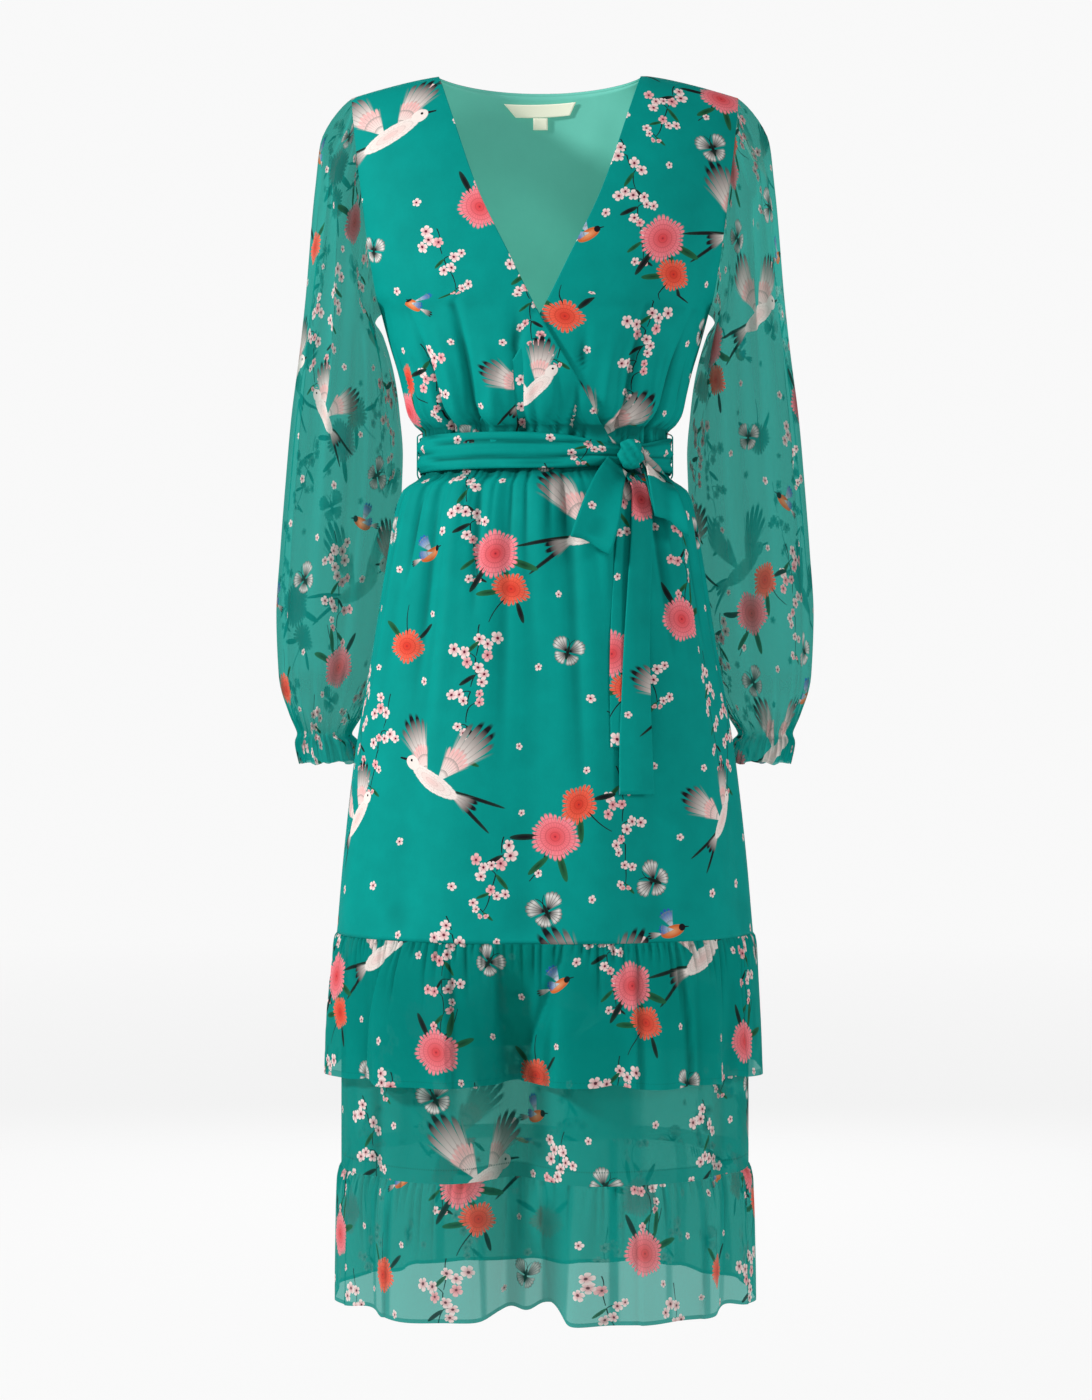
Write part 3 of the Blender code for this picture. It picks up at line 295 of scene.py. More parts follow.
# Creases that run along straight lines on the cloth, from one height: the turn where each starts, the
# turn and the height where it ends, how far it stands out (a trough is negative), its width in degrees.
BODICE_CREASES = crease_table(
    -0.392,
    (22, 12, -0.25, -0.003, 3), (38, 27, -0.262, 0.003, 3.2), (47, 38, -0.225, -0.0042, 2.2),
    (56, 50, -0.24, 0.0032, 3.4), (64, 60, -0.205, -0.0046, 2.2), (73, 70, -0.255, 0.0034, 3),
    (82, 82, -0.215, -0.004, 2.4), (91, 92, -0.27, 0.003, 2.8), (99, 102, -0.24, -0.0036, 2),
    (110, 113, -0.25, 0.003, 3), (121, 124, -0.215, -0.0044, 2.4), (131, 137, -0.262, 0.0034, 3.2),
    (142, 150, -0.228, -0.0042, 2.4), (155, 166, -0.255, 0.0028, 3.4),
    (168, 176, -0.24, -0.0028, 2.6), (196, 192, -0.245, -0.0032, 2.6), (211, 205, -0.262, 0.003, 3.2),
    (226, 219, -0.215, -0.0042, 2.4), (240, 236, -0.25, 0.003, 3), (252, 250, -0.225, -0.0038, 2.2),
    (264, 263, -0.265, 0.0028, 3), (275, 277, -0.21, -0.0044, 2.4), (288, 291, -0.255, 0.003, 3.2),
    (301, 306, -0.23, -0.0038, 2.4), (316, 323, -0.25, 0.003, 3.2), (333, 341, -0.235, -0.0034, 2.8),
)
SKIRT_CREASES = crease_table(
    -0.350,
    (14, 10, -0.56, -0.0036, 2.4), (27, 24, -0.7, 0.003, 3.4), (36, 34, -0.52, -0.004, 2.2),
    (47, 46, -0.64, -0.0034, 2.6), (57, 58, -0.78, 0.0034, 3.8), (66, 68, -0.56, -0.0042, 2.2),
    (77, 79, -0.73, -0.0034, 3), (88, 90, -0.6, 0.003, 3), (97, 99, -0.79, -0.0036, 2.8),
    (109, 110, -0.57, 0.0032, 3), (119, 121, -0.68, -0.0034, 2.6), (133, 134, -0.6, -0.004, 2.4),
    (144, 146, -0.76, 0.0032, 3.6), (154, 157, -0.58, -0.0036, 2.4), (168, 172, -0.66, -0.003, 3),
    (193, 190, -0.62, -0.0036, 2.8), (208, 206, -0.76, 0.0034, 3.6), (221, 219, -0.56, -0.0042, 2.4),
    (235, 234, -0.7, -0.0034, 3), (248, 247, -0.6, 0.0032, 3.2), (260, 261, -0.78, -0.004, 2.8),
    (273, 273, -0.58, -0.0036, 2.2), (286, 288, -0.72, 0.0032, 3.6), (299, 301, -0.6, -0.0042, 2.6),
    (313, 316, -0.76, -0.0032, 3.2), (328, 331, -0.57, 0.003, 3), (343, 347, -0.66, -0.0036, 2.6),
)

# Creases of the right sleeve, by place round it and by ring: where each starts and ends, how far it
# stands out and its width in places.
SLEEVE_CREASES = table(
    "place ring to_place to_ring out width",
    (0.6, 1, 1.6, 8, -0.005, 0.34), (2.2, 0.4, 3, 5.5, -0.004, 0.3),
    (3.1, 4, 3.4, 12.4, -0.006, 0.34), (4.2, 0.4, 4.6, 7.5, 0.004, 0.4),
    (5.2, 2, 5, 11.5, -0.0055, 0.36), (6, 0.2, 6.3, 5, -0.0038, 0.28),
    (6.9, 5, 6.5, 13.2, -0.006, 0.36), (7.6, 0.2, 7.8, 6.5, 0.0036, 0.34),
    (8.4, 3, 8.2, 12.8, -0.0048, 0.34), (9.6, 0.4, 9.4, 7, -0.0044, 0.3),
    (10.3, 4.5, 10, 13, -0.006, 0.36), (11.4, 0.6, 11.2, 8.5, 0.004, 0.4),
    (12.2, 2.5, 12.4, 12.6, -0.0055, 0.36), (13.3, 0.6, 13, 6, -0.004, 0.3),
    (14.3, 4, 14.2, 13, -0.0055, 0.36), (15.3, 1.5, 15.2, 9, 0.004, 0.4),
)

# Edges of folds on the flounces: turn at the seam and at the hem, height, reach in degrees, and the
# side of the edge, up or down the turns, that lies on top.
UPPER_EDGES = table(
    "turn to_turn out reach side",
    (15, 12, 0.004, 6, 1), (48, 36, 0.008, 9, 1), (66, 65, 0.007, 8, -1), (78, 77, 0.007, 6, -1),
    (95, 84, 0.009, 11, 1), (111, 112, 0.004, 6, -1), (126, 128, 0.006, 8, 1),
    (150, 155, 0.005, 7, -1), (204, 199, 0.0056, 8, 1), (228, 231, 0.007, 9, -1),
    (247, 240, 0.0066, 9, 1), (266, 268, 0.0078, 8, -1), (283, 276, 0.0064, 8, 1),
    (306, 310, 0.007, 9, -1), (331, 326, 0.0054, 8, 1),
)
LOWER_EDGES = table(
    "turn to_turn out reach side",
    (24, 21, 0.0026, 6, 1), (46, 44, 0.003, 6, -1), (69, 73, 0.0032, 5, 1), (80, 77, 0.0028, 4, 1),
    (88, 91, 0.004, 7, -1), (113, 113, 0.0034, 6, 1), (137, 133, 0.0028, 6, 1),
    (158, 161, 0.0026, 6, -1), (207, 211, 0.003, 6, 1), (233, 229, 0.0034, 7, -1),
    (256, 260, 0.0034, 6, 1), (279, 276, 0.0036, 6, -1), (302, 306, 0.003, 6, 1),
    (334, 331, 0.0028, 6, -1),
)

# Where the upper flounce and the lower skirt hang in one layer, and where the lower flounce lies folded
# on itself: middle turn, half width in degrees, and share.
UPPER_WINDOWS = table(
    "turn half share",
    (20, 7, 0.55), (41, 2.2, 0.45), (83, 4.2, 1), (166, 7, 0.55), (214, 4, 0.6), (262, 5, 0.9),
    (318, 3, 0.5),
)
LOWER_WINDOWS = table(
    "turn half share",
    (12, 6, 0.5), (77, 10, 1), (132, 17, 0.75), (205, 9, 0.6), (230, 15, 0.9), (282, 17, 1),
    (330, 10, 0.7),
)
HEM_FOLDS = table(
    "turn half share",
    (36, 1.2, 0.85), (45.6, 1.7, 0.9), (72.4, 1, 0.8), (82, 3, 0.55), (93, 3.6, 0.85),
    (106.4, 1.2, 1), (122, 1.1, 0.7), (134.6, 1.2, 0.8), (148, 2.2, 0.6), (207, 1.6, 0.8),
    (228, 2.6, 0.6), (251, 1.2, 0.9), (276, 3.4, 0.7), (300, 1.3, 0.85), (331, 2.2, 0.6),
)


# ---------------------------------------------------------------- curves and surfaces
def smooth(share):
    """Rises from 0 to 1 with level ends."""
    share = np.clip(share, 0.0, 1.0)
    return share * share * (3.0 - 2.0 * share)


def signed_power(value, power):
    """Power of the size, with the sign kept."""
    return np.sign(value) * np.abs(value) ** power


def through(stations, values, at):
    """Smooth curve through rising stations: cubics whose slopes are the harmonic means of the
    neighbouring chords, so it never overshoots a value."""
    steps = np.diff(stations)
    chords = np.diff(values) / steps
    product = chords[:-1] * chords[1:]
    total = np.where(product > 0, chords[:-1] + chords[1:], 1.0)
    inner = np.where(product > 0, 2.0 * product / total, 0.0)
    slopes = np.concatenate((chords[:1], inner, chords[-1:]))
    at = np.clip(at, stations[0], stations[-1])
    k = np.clip(np.searchsorted(stations, at, side="right") - 1, 0, len(steps) - 1)
    t = (at - stations[k]) / steps[k]
    rise = (1 - t) ** 2 * ((1 + 2 * t) * values[k] + t * steps[k] * slopes[k])
    return rise + t * t * ((3 - 2 * t) * values[k + 1] + (t - 1) * steps[k] * slopes[k + 1])


def column(source, name, at):
    """A table's named column, where its first column has the value at."""
    return through(next(iter(source.values())), source[name], at)


def wrapped(away, lap=360.0):
    """A difference along a closed line, the short way round. A lap is once round it."""
    return (away + lap / 2) % lap - lap / 2


def unit(vectors):
    """Vectors scaled to length 1."""
    return vectors / np.linalg.norm(vectors, axis=-1, keepdims=True)


def offset(surface, amount, facing=1):
    """The surface moved along its normals by amount(columns, rows)."""

    def moved(columns, rows):
        across = surface(columns + PROBE, rows) - surface(columns - PROBE, rows)
        along = surface(columns, rows + PROBE) - surface(columns, rows - PROBE)
        normals = unit(np.cross(across, along)) * facing
        return surface(columns, rows) + normals * amount(columns, rows)[..., None]

    return moved


# ---------------------------------------------------------------- bodice form
def armhole_x(climb):
    """Distance out of the armhole edge, by share of the height from underarm to shoulder."""
    reach = SHOULDER_TIP - UNDERARM_HALF
    return UNDERARM_HALF + reach * np.clip(climb, 0, 1) ** ARMHOLE_CURVE


def chest_half(climb):
    """Half width of the ring that the chest lies on: past the armhole, where the arm goes."""
    climb = np.clip(climb, 0, 1)
    return armhole_x(climb) + ARMHOLE_SET * np.sqrt(climb) * (1 - ARMHOLE_FADE * climb**2)


def shoulder_z(x):
    """Height of the shoulder seam: level at the neck, falling to the tip."""
    share = np.clip((np.abs(x) - NECK_HALF) / (SHOULDER_TIP - NECK_HALF), 0, 1)
    return -SHOULDER_DROP * share**SHOULDER_CURVE


def side_height(row):
    """Height of a row at the side seam: 0 waist, 1 underarm, 2 shoulder."""
    return WAIST_Z + (UNDERARM_Z - WAIST_Z) * np.minimum(row, 1)


def chest_climb(row, side):
    """Share of the height from underarm to shoulder at which a row lies."""
    return np.sin(np.clip(row - 1, 0, 1) * math.pi / 2) ** (2 / CHEST_RISE[side])


def ring_width(row, side):
    """Half width of the bodice ring on a row."""
    low = column(BODICE, "half_width", side_height(row))
    return np.where(row <= 1, low, chest_half(chest_climb(row, side)))


def bodice_form(angle, row, side):
    """Point of the bodice form, at an angle from the right side seam.

    Up to the underarm the rings are superellipses. Above it, while a turn q runs up to the top edge,
    depth falls as cos q and height climbs as sin(q) ** (2 / rise). The turn is a quarter at the
    shoulders and less across the back neck, which so stays behind them.
    """
    z_low = side_height(row)
    x = -ring_width(row, side) * signed_power(np.cos(angle), 2 / BODY_ROUNDNESS)
    depth = column(BODICE, side, z_low) * signed_power(np.sin(angle), 2 / BODY_ROUNDNESS)
    neck = 0.0 * x
    if side == "back":
        neck = (1 - np.clip(np.abs(x - NECK_CENTRE) / NECK_HALF, 0, 1) ** 2) ** NECK_CURVE
    last_turn = math.pi / 2 - BACK_NECK_TURN * neck
    top_z = shoulder_z(x) - BACK_NECK_DROP * neck
    turn = last_turn * np.clip(row - 1, 0, 2)
    climb = (np.abs(np.sin(turn)) / np.sin(last_turn)) ** (2 / CHEST_RISE[side])
    y = depth * np.cos(turn) * (-1 if side == "front" else 1)
    z = np.where(row <= 1, z_low, UNDERARM_Z + climb * (top_z - UNDERARM_Z))
    return np.stack((x, y, z), axis=-1)


def armhole_angle(row, side):
    """Angle of the armhole edge from the side seam, 0 up to the underarm."""
    climb = chest_climb(row, side)
    share = armhole_x(climb) / chest_half(climb)
    return np.arccos(np.clip(share, 0, 1) ** (BODY_ROUNDNESS / 2))


def front_height(row):
    """Height of a row of the fronts inside the shoulder line's level stretch."""
    return np.where(row <= 1, side_height(row), UNDERARM_Z * (1 - chest_climb(row, "front")))


def angle_at(x, row, side):
    """Angle at which a row of the bodice form reaches distance x."""
    share = np.clip(np.abs(x) / ring_width(row, side), 0, 1)
    return np.arccos(-np.sign(x) * share ** (BODY_ROUNDNESS / 2))


def over_edge(z):
    """Where the free edge of the over front runs."""
    return column(WRAP_EDGE, "x", z)


def under_edge(z):
    """Where the free edge of the under front runs: the over front's, mirrored at the neck's middle."""
    return 2 * NECK_CENTRE - over_edge(z)


# ---------------------------------------------------------------- skirt forms
def ring(turn, source, z):
    """Superellipse ring of a table's sizes at height z, at a turn in degrees."""
    angle = np.radians(turn)
    front = column(source, "front", z)
    depth = np.where(np.sin(angle) >= 0, front, column(source, "back", z))
    x = -column(source, "half_width", z) * signed_power(np.cos(angle), 2 / SKIRT_ROUNDNESS)
    y = -depth * signed_power(np.sin(angle), 2 / SKIRT_ROUNDNESS)
    return np.stack((x, y, z + 0 * x), axis=-1)


def beside(turn, source, z):
    """Unit vectors round and out of a ring."""
    round_body = ring(turn + PROBE, source, z) - ring(turn - PROBE, source, z)
    round_body[..., 2] = 0
    round_body = unit(round_body)
    out = np.stack((round_body[..., 1], -round_body[..., 0], 0 * turn), axis=-1)
    return round_body, out


def bump_sum(turn, source, name):
    """Sum of a fold table's column, each fold a bell across its width."""
    away = wrapped(turn[..., None] - source["turn"])
    return (source[name] * np.exp(-((away / source["width"]) ** 2))).sum(axis=-1)


def lower_skirt(turn, z):
    """Sheer lower skirt, with the deep drapes that open below the upper flounce's seam."""
    _, out = beside(turn, LOWER_SKIRT, z)
    stand = bump_sum(turn, DRAPES, "out") * column(LOWER_SKIRT, "drape", z)
    return ring(turn, LOWER_SKIRT, z) + out * stand[..., None]


def skirt_front_y(x, z):
    """Depth at which the front of the upper skirt lies, at distance x."""
    share = np.clip(np.abs(x) / column(SKIRT, "half_width", z), 0, 0.93)
    return -column(SKIRT, "front", z) * (1 - share**SKIRT_ROUNDNESS) ** (1 / SKIRT_ROUNDNESS)


# ---------------------------------------------------------------- gathers and creases
def gathers(across, away, first, last, pitch, depth, reach, seed):
    """Uneven gathers along a seam. Each trough is a bell across, about a pitch from the next, with a
    width, a depth and a reach of its own, and dies away from the seam as another bell."""
    count = round((last - first) / pitch)
    total = 0.35 * depth * np.exp(-((away / reach) ** 2))
    for k, (shift, deep, wide, far) in enumerate(np.random.default_rng(seed).uniform(size=(count, 4))):
        middle = first + (k + 0.2 + 0.6 * shift) * pitch
        across_bell = np.exp(-(((across - middle) / (pitch * (0.17 + 0.11 * wide))) ** 2))
        along_bell = np.exp(-((away / (reach * (0.4 + 1.2 * far**2))) ** 2))
        total = total - depth * (0.45 + 0.55 * deep) * across_bell * along_bell
    return total


def creases(turn, z, source, lap=360.0):
    """Sum of a table's creases: each a bell across the line that it runs along, which rises over the
    first fifth of that line and dies away over its second half. A lap is once round the piece."""
    total = 0.0 * turn
    for first, start, last, end, out, width in zip(*source.values()):
        share = (z - start) / (end - start)
        away = wrapped(turn - first - (last - first) * share, lap)
        fade = smooth(share / 0.2) * smooth((1 - share) / 0.5)
        total = total + out * np.exp(-((away / width) ** 2)) * fade
    return total


def under_belt(stand, away):
    """Relief that keeps under the belt's band, and is free from its edge on."""
    return np.minimum(stand, UNDER_BELT + BELT_RELEASE * np.maximum(away - BELT_EDGE, 0))


# ---------------------------------------------------------------- bodice
def bodice_lift(angle, z, seed):
    """Gathers and creases of the bodice above the waist."""
    turn = np.degrees(angle)
    fine = gathers(turn, z - WAIST_Z, -5, 365, *BODICE_GATHERS, seed)
    return under_belt(fine + BODICE_CREASE_SCALE * creases(turn, z, BODICE_CREASES), z - WAIST_Z)


def over_front(share, rows):
    """Right front, by share of the way from the side seam and armhole to the free edge. It lies on the
    under front where they cross."""

    def angle_of(s, r):
        start = armhole_angle(r, "front")
        return start + (angle_at(over_edge(front_height(r)), r, "front") - start) * s

    def plain(s, r):
        return bodice_form(angle_of(s, r), r, "front")

    def lift(s, r):
        z = front_height(r)
        crossing = smooth((plain(s, r)[..., 0] - under_edge(z) + OVERLAP_EASE) / OVERLAP_EASE)
        calm = 1 - 0.7 * np.exp(-(((1 - s) / 0.06) ** 2))
        return OVER_LIFT * crossing + calm * bodice_lift(angle_of(s, r), z, FRONT_SEEDS["over"])

    return offset(plain, lift)(share, rows)


def under_front(share, rows):
    """Left front, by share of the way from its hidden free edge to the side seam and armhole. It sinks
    under the over front and is gathered only where it shows."""

    def angle_of(s, r):
        start = angle_at(under_edge(front_height(r)), r, "front")
        return start + (math.pi - armhole_angle(r, "front") - start) * s

    def plain(s, r):
        return bodice_form(angle_of(s, r), r, "front")

    def lift(s, r):
        z = front_height(r)
        clear = (plain(s, r)[..., 0] - over_edge(z)) / OVERLAP_EASE
        gathered = bodice_lift(angle_of(s, r), z, FRONT_SEEDS["under"])
        return gathered * smooth(clear - 1) - UNDER_SINK * smooth(1.5 - clear)

    return offset(plain, lift)(share, rows)


def back_angle(share, rows):
    """Angle of a place on the back, by share of the way from the right side seam and armhole."""
    start = armhole_angle(rows, "back")
    return start + (math.pi - 2 * start) * share


def plain_back(share, rows):
    """Back bodice without its gathers."""
    return bodice_form(back_angle(share, rows), rows, "back")


def back_lift(share, rows):
    """Gathers of the back above the waist, which end below the shoulders."""
    return bodice_lift(-back_angle(share, rows), side_height(rows), BACK_SEED) * smooth(3 - 2 * rows)


def back(share, rows):
    """Back bodice, gathered above the waist."""
    return offset(plain_back, back_lift, facing=-1)(share, rows)


def lining(share, rows):
    """Back lining: the plain back moved in, loose in the middle with soft upright folds, close at its
    top edge, and clear of the back's own gathers."""

    def inward(s, r):
        loose = smooth((r - 1.6) / 0.4) - 1
        folds = -np.sin(34 * s + 3 * np.sin(9 * s)) * loose * 1.4
        hangs = -LINING_DEPTH + LINING_LOOSE * (loose + 0.45 * folds)
        return np.minimum(hangs, back_lift(s, r) - LINING_CLEAR)

    return offset(plain_back, inward, facing=-1)(share, rows)


# ---------------------------------------------------------------- skirts and flounces
def skirt_rise(turn, z):
    """How far the upper skirt's soft folds stand off its ring: they open below the belt and close again
    towards the flounce's seam."""
    fade = smooth((WAIST_Z - 0.03 - z) / 0.15) * smooth((z - UPPER_SEAM_Z) / 0.05 + 0.35)
    return bump_sum(turn, SOFT_FOLDS, "out") * fade


def skirt(turn, z):
    """Upper skirt: gathers below the waist, long creases and soft folds."""
    _, out = beside(turn, SKIRT, z)
    stand = skirt_rise(turn, z) + SKIRT_CREASE_SCALE * creases(turn, z, SKIRT_CREASES)
    stand = stand + gathers(turn, WAIST_Z - z, 0, 360, *SKIRT_GATHERS)
    stand = under_belt(stand + column(SKIRT, "gather", z), WAIST_Z - z)
    return ring(turn, SKIRT, z) + out * stand[..., None]


def fold_edges(turn, share, source):
    """Folds that lie over the cloth beside them: across the line that each edge runs along the cloth
    rises within a degree, to the side given, and sinks back over its reach."""
    total = 0.0 * turn
    for first, last, out, reach, side in zip(*source.values()):
        away = wrapped(turn - first - (last - first) * share) * side
        total = total + out * smooth(away / 0.8 + 0.5) * np.exp(-np.maximum(away, 0) / reach)
    return total * smooth(share / 0.25)


def flounce(turn, share, top_z, hem_z, stands, folds, edges, fine):
    """A flounce that hangs over the lower skirt's line, by share of the way from its seam to its hem.
    Close gathers, pressed flat in the seam itself, run together into fewer, wider folds at the hem,
    some of which lean round the body past their foot."""
    at = {name: column(stands, name, share) for name in stands}
    z = top_z + (hem_z - top_z) * share
    round_body, out = beside(turn, LOWER_SKIRT, z)
    opened = smooth(share / SEAM_OPENING)
    stand = at["stand"] + (gathers(turn, top_z - z, 0, 360, *fine) + at["gather"]) * opened
    stand = stand + bump_sum(turn, folds, "out") * at["fold"] + fold_edges(turn, share, edges)
    seam = stands["stand"][0]
    stand = seam + (stand - seam) * opened
    lean = bump_sum(turn, folds, "lean") * at["fold"]
    points = lower_skirt(turn, z) + out * stand[..., None] + round_body * lean[..., None]
    points[..., 2] += bump_sum(turn, folds, "lift") * at["fold"]
    return points


def upper_flounce(turn, share):
    """Upper flounce."""
    form = (UPPER_SEAM_Z, UPPER_HEM_Z, UPPER_STAND, UPPER_FOLDS, UPPER_EDGES, UPPER_GATHERS)
    return flounce(turn, share, *form)


def lower_flounce(turn, share):
    """Lower flounce."""
    form = (LOWER_SEAM_Z, LOWER_HEM_Z, LOWER_STAND, LOWER_FOLDS, LOWER_EDGES, LOWER_GATHERS)
    return flounce(turn, share, *form)


# ---------------------------------------------------------------- sleeves
def armhole(place):
    """Edge of the right armhole: half of its places up the front from the underarm, half down the
    back."""
    top = PLACES / 2
    rows = 1 + np.where(place <= top, place, PLACES - place) / top
    front, rear = (surface(0 * place, rows) for surface in (over_front, back))
    return np.where((place <= top)[..., None], front, rear)


def plain_sleeve(place, ring_number):
    """Right sleeve without gathers: rings between inner and outer points, of which the first two keep
    some of the armhole's shape."""
    stations = np.arange(len(SLEEVE["outer_x"]), dtype=float)
    at = {name: through(stations, SLEEVE[name], ring_number) for name in SLEEVE}
    angle = 2 * math.pi * place / PLACES
    across = np.cos(angle) / 2
    x = -(at["outer_x"] + at["inner_x"]) / 2 + (at["outer_x"] - at["inner_x"]) * across
    z = (at["outer_z"] + at["inner_z"]) / 2 - (at["outer_z"] - at["inner_z"]) * across
    y = at["middle_y"] - at["half_depth"] * np.sin(angle)
    share = smooth(ring_number / SLEEVE_BLEND)[..., None]
    return (1 - share) * armhole(place % PLACES) + share * np.stack((x, y, z), axis=-1)


def sleeve(place, ring_number):
    """Right sleeve with its long creases, the gathers that the elastic draws in above and below it, and
    a few soft gathers at the sleeve head."""

    def lift(p, r):
        drop = -through(np.arange(len(SLEEVE["outer_z"])), SLEEVE["outer_z"], r)
        long = creases(p % PLACES, r, SLEEVE_CREASES, lap=PLACES)
        elastic = gathers(p, drop - WRIST_DROP, 0, PLACES, *WRIST_GATHERS)
        head = gathers(p, drop, PLACES / 4, PLACES * 3 / 4, *HEAD_GATHERS) * smooth(r)
        frill = gathers(p, drop - FRILL_DROP, 0, PLACES, *FRILL_GATHERS)
        return long + (elastic + frill) * smooth(r - 6) + head

    points = offset(plain_sleeve, lift)(place, ring_number)
    turn = 2 * math.pi * place / PLACES
    wave = 0.0012 * np.sin(5 * turn + 1) + 0.0009 * np.sin(12 * turn)
    points[..., 2] += (wave - 0.0010) * smooth(ring_number - 14)
    return points


# ---------------------------------------------------------------- tie belt
def waist_ring(turn, stand):
    """Points round the waist at a distance off it."""
    waist = np.full_like(turn, WAIST_Z)
    _, out = beside(turn, SKIRT, waist)
    return ring(turn, SKIRT, waist) + out * stand[..., None]


def sash_surface(turn, share):
    """Band round the waist, by share of the way from its top edge to its bottom one. Its creases run
    along it and draw together where it narrows and dips towards the knot."""
    away = np.abs(wrapped(turn - KNOT_TURN))
    half, dip = column(SASH, "half", away), column(SASH, "dip", away)
    wander = 0.10 * np.sin(np.radians(turn) * 3 + 1.0) + 0.05 * np.sin(np.radians(turn) * 7)
    stand = SASH_STAND + 0.0012 * np.cos(2 * math.pi * (2.2 * (share + wander) + 0.1))
    stand = stand + 0.0007 * np.cos(2 * math.pi * (4.7 * share + 1.6 * wander + np.radians(turn) / 3))
    stand = stand - 0.0012 * np.abs(2 * share - 1) ** 6
    points = waist_ring(turn, stand)
    points[..., 2] += half * (1 - 2 * share) - dip
    return points


def knot(turn, rise):
    """Knot, by turn and rise in radians: a rounded block with slanting rolls, where the belt is pulled
    tight round itself."""
    middle = np.array([[KNOT_TURN]])
    centre = waist_ring(middle, np.full_like(middle, SASH_STAND + KNOT_OUT))[0, 0]
    flat = signed_power(np.cos(rise), 0.7)
    x, y = signed_power(np.cos(turn), 0.8) * flat, signed_power(np.sin(turn), 0.8) * flat
    z = signed_power(np.sin(rise), 0.8)
    roll = 1 + 0.14 * np.cos(7 * x + 6 * z + 1) + 0.02 * np.cos(13 * z - 7 * x)
    points = np.stack((KNOT_SIZE[0] * x * roll, KNOT_SIZE[1] * y * roll, KNOT_SIZE[2] * z), axis=-1)
    return points + centre - (0, 0, KNOT_DROP)


def ribbon(path, folds):
    """Surface of a flat ribbon: across from -1 to 1, and along its path by row, with shallow folds."""
    stations = np.arange(len(path["x"]), dtype=float)

    def surface(across, rows):
        at = {name: through(stations, path[name], rows) for name in path}
        y = skirt_front_y(at["x"], np.minimum(at["z"], BELOW_BAND)) - at["stand"]
        half = np.stack((at["across_x"], at["across_y"], at["across_z"]), axis=-1)
        return np.stack((at["x"], y, at["z"]), axis=-1) + half * across[..., None]

    def lift(across, rows):
        return folds * np.sin(2.6 * across + 0.6 * rows) * np.sin(math.pi * rows / stations[-1]) ** 0.5

    return offset(surface, lift)


def hanging_end(path, folds):
    """Surface of a hanging end: the skirt's own points moved out, across from -1 to 1, and by height,
    with a shallow fold down its middle."""

    def surface(across, z):
        at = {name: column(path, name, z) for name in path}
        turn = at["turn"] + at["half_turn"] * across
        _, out = beside(turn, SKIRT, z)
        stand = at["stand"] + folds * np.cos(2.2 * across + 9 * z)
        points = ring(turn, SKIRT, z) + out * (stand + skirt_rise(at["turn"], z))[..., None]
        points[..., 2] = z
        return points

    return surface


def carrier_surface(turn, share):
    """Belt carrier: a narrow strip that leaves the bodice above the band and meets the skirt below."""
    points = waist_ring(turn, column(CARRIER, "stand", share))
    points[..., 2] = column(CARRIER, "z", share)
    return points


# ---------------------------------------------------------------- label
def label_surface(across, drop):
    """The back lining by metres from the neck's middle and metres below the back neck's edge."""
    row = 2.0 - drop * LABEL_ROW_SCALE
    return bodice_form(angle_at(across + NECK_CENTRE, row, "back"), row, "back")


# ---------------------------------------------------------------- the print
# Every spot of ink is a round or lobed shape in its own coordinates, and every line is a bowed stroke.
# Kinds of spot: (petals, notch between them, rings, half of the span in radians), (inner colour, core
# radius), (outer colour, radius where it starts), strength of the drawn lines.
FULL = 4.0
PALE = (0.830, 0.740, 0.690)
BLACK_INK = (0.010, 0.010, 0.013)
KINDS = {
    "blossom": ((5, 0.40, 0, FULL), (0.560, 0.090, 0.130, 0.24), (0.860, 0.690, 0.660, -0.30), 0.50),
    "rosy": ((5, 0.36, 0, FULL), (0.480, 0.040, 0.080, 0.22), (0.840, 0.470, 0.470, -0.30), 0.55),
    "bud": ((3, 0.30, 0, FULL), (0.560, 0.080, 0.110, 0.00), (0.820, 0.500, 0.490, -0.10), 0.40),
    "pompom": ((30, 0.26, 5.2, FULL), (0.740, 0.060, 0.070, 0.06), (0.900, 0.250, 0.290, 0.05), 0.42),
    "coral": ((24, 0.34, 4.4, FULL), (0.660, 0.040, 0.025, 0.06), (0.880, 0.140, 0.080, 0.05), 0.45),
    "leaf": ((0, 0.00, 0, FULL), (0.008, 0.030, 0.016, 0.00), (0.016, 0.120, 0.050, -0.20), 0.0),
    "dark_leaf": ((0, 0.00, 0, FULL), (*BLACK_INK, 0.00), (0.012, 0.040, 0.030, 0.30), 0.0),
    "body": ((22, 0.04, 4.0, FULL), (0.780, 0.480, 0.450, 0.00), (*PALE, -0.30), 0.30),
    "head": ((0, 0.00, 0, FULL), (*PALE, 0.00), (*PALE, 0.20), 0.0),
    "coverts": ((40, 0.16, 3.1, 0.60), (*PALE, 0.00), (0.800, 0.440, 0.420, 0.20), 0.80),
    "flight": ((38, 0.30, 0, 0.50), (*PALE, 0.00), (*BLACK_INK, 0.40), 0.85),
    "tail": ((34, 0.30, 0, 0.34), (0.700, 0.620, 0.580, 0.00), (*BLACK_INK, 0.25), 0.85),
    "blue_wing": ((26, 0.20, 2.4, 0.50), (0.560, 0.640, 0.660, 0.00), (0.020, 0.120, 0.420, 0.15), 0.8),
    "orange": ((0, 0.00, 0, FULL), (0.780, 0.330, 0.150, 0.00), (0.620, 0.130, 0.030, 0.10), 0.0),
    "ink_dot": ((0, 0.00, 0, FULL), (*BLACK_INK, 0.00), (*BLACK_INK, 0.50), 0.0),
    "wing": ((22, 0.12, 1.0, 0.80), (*BLACK_INK, 0.00), (0.760, 0.740, 0.700, 0.16), 1.0),
}
INKS = {"twig": BLACK_INK}

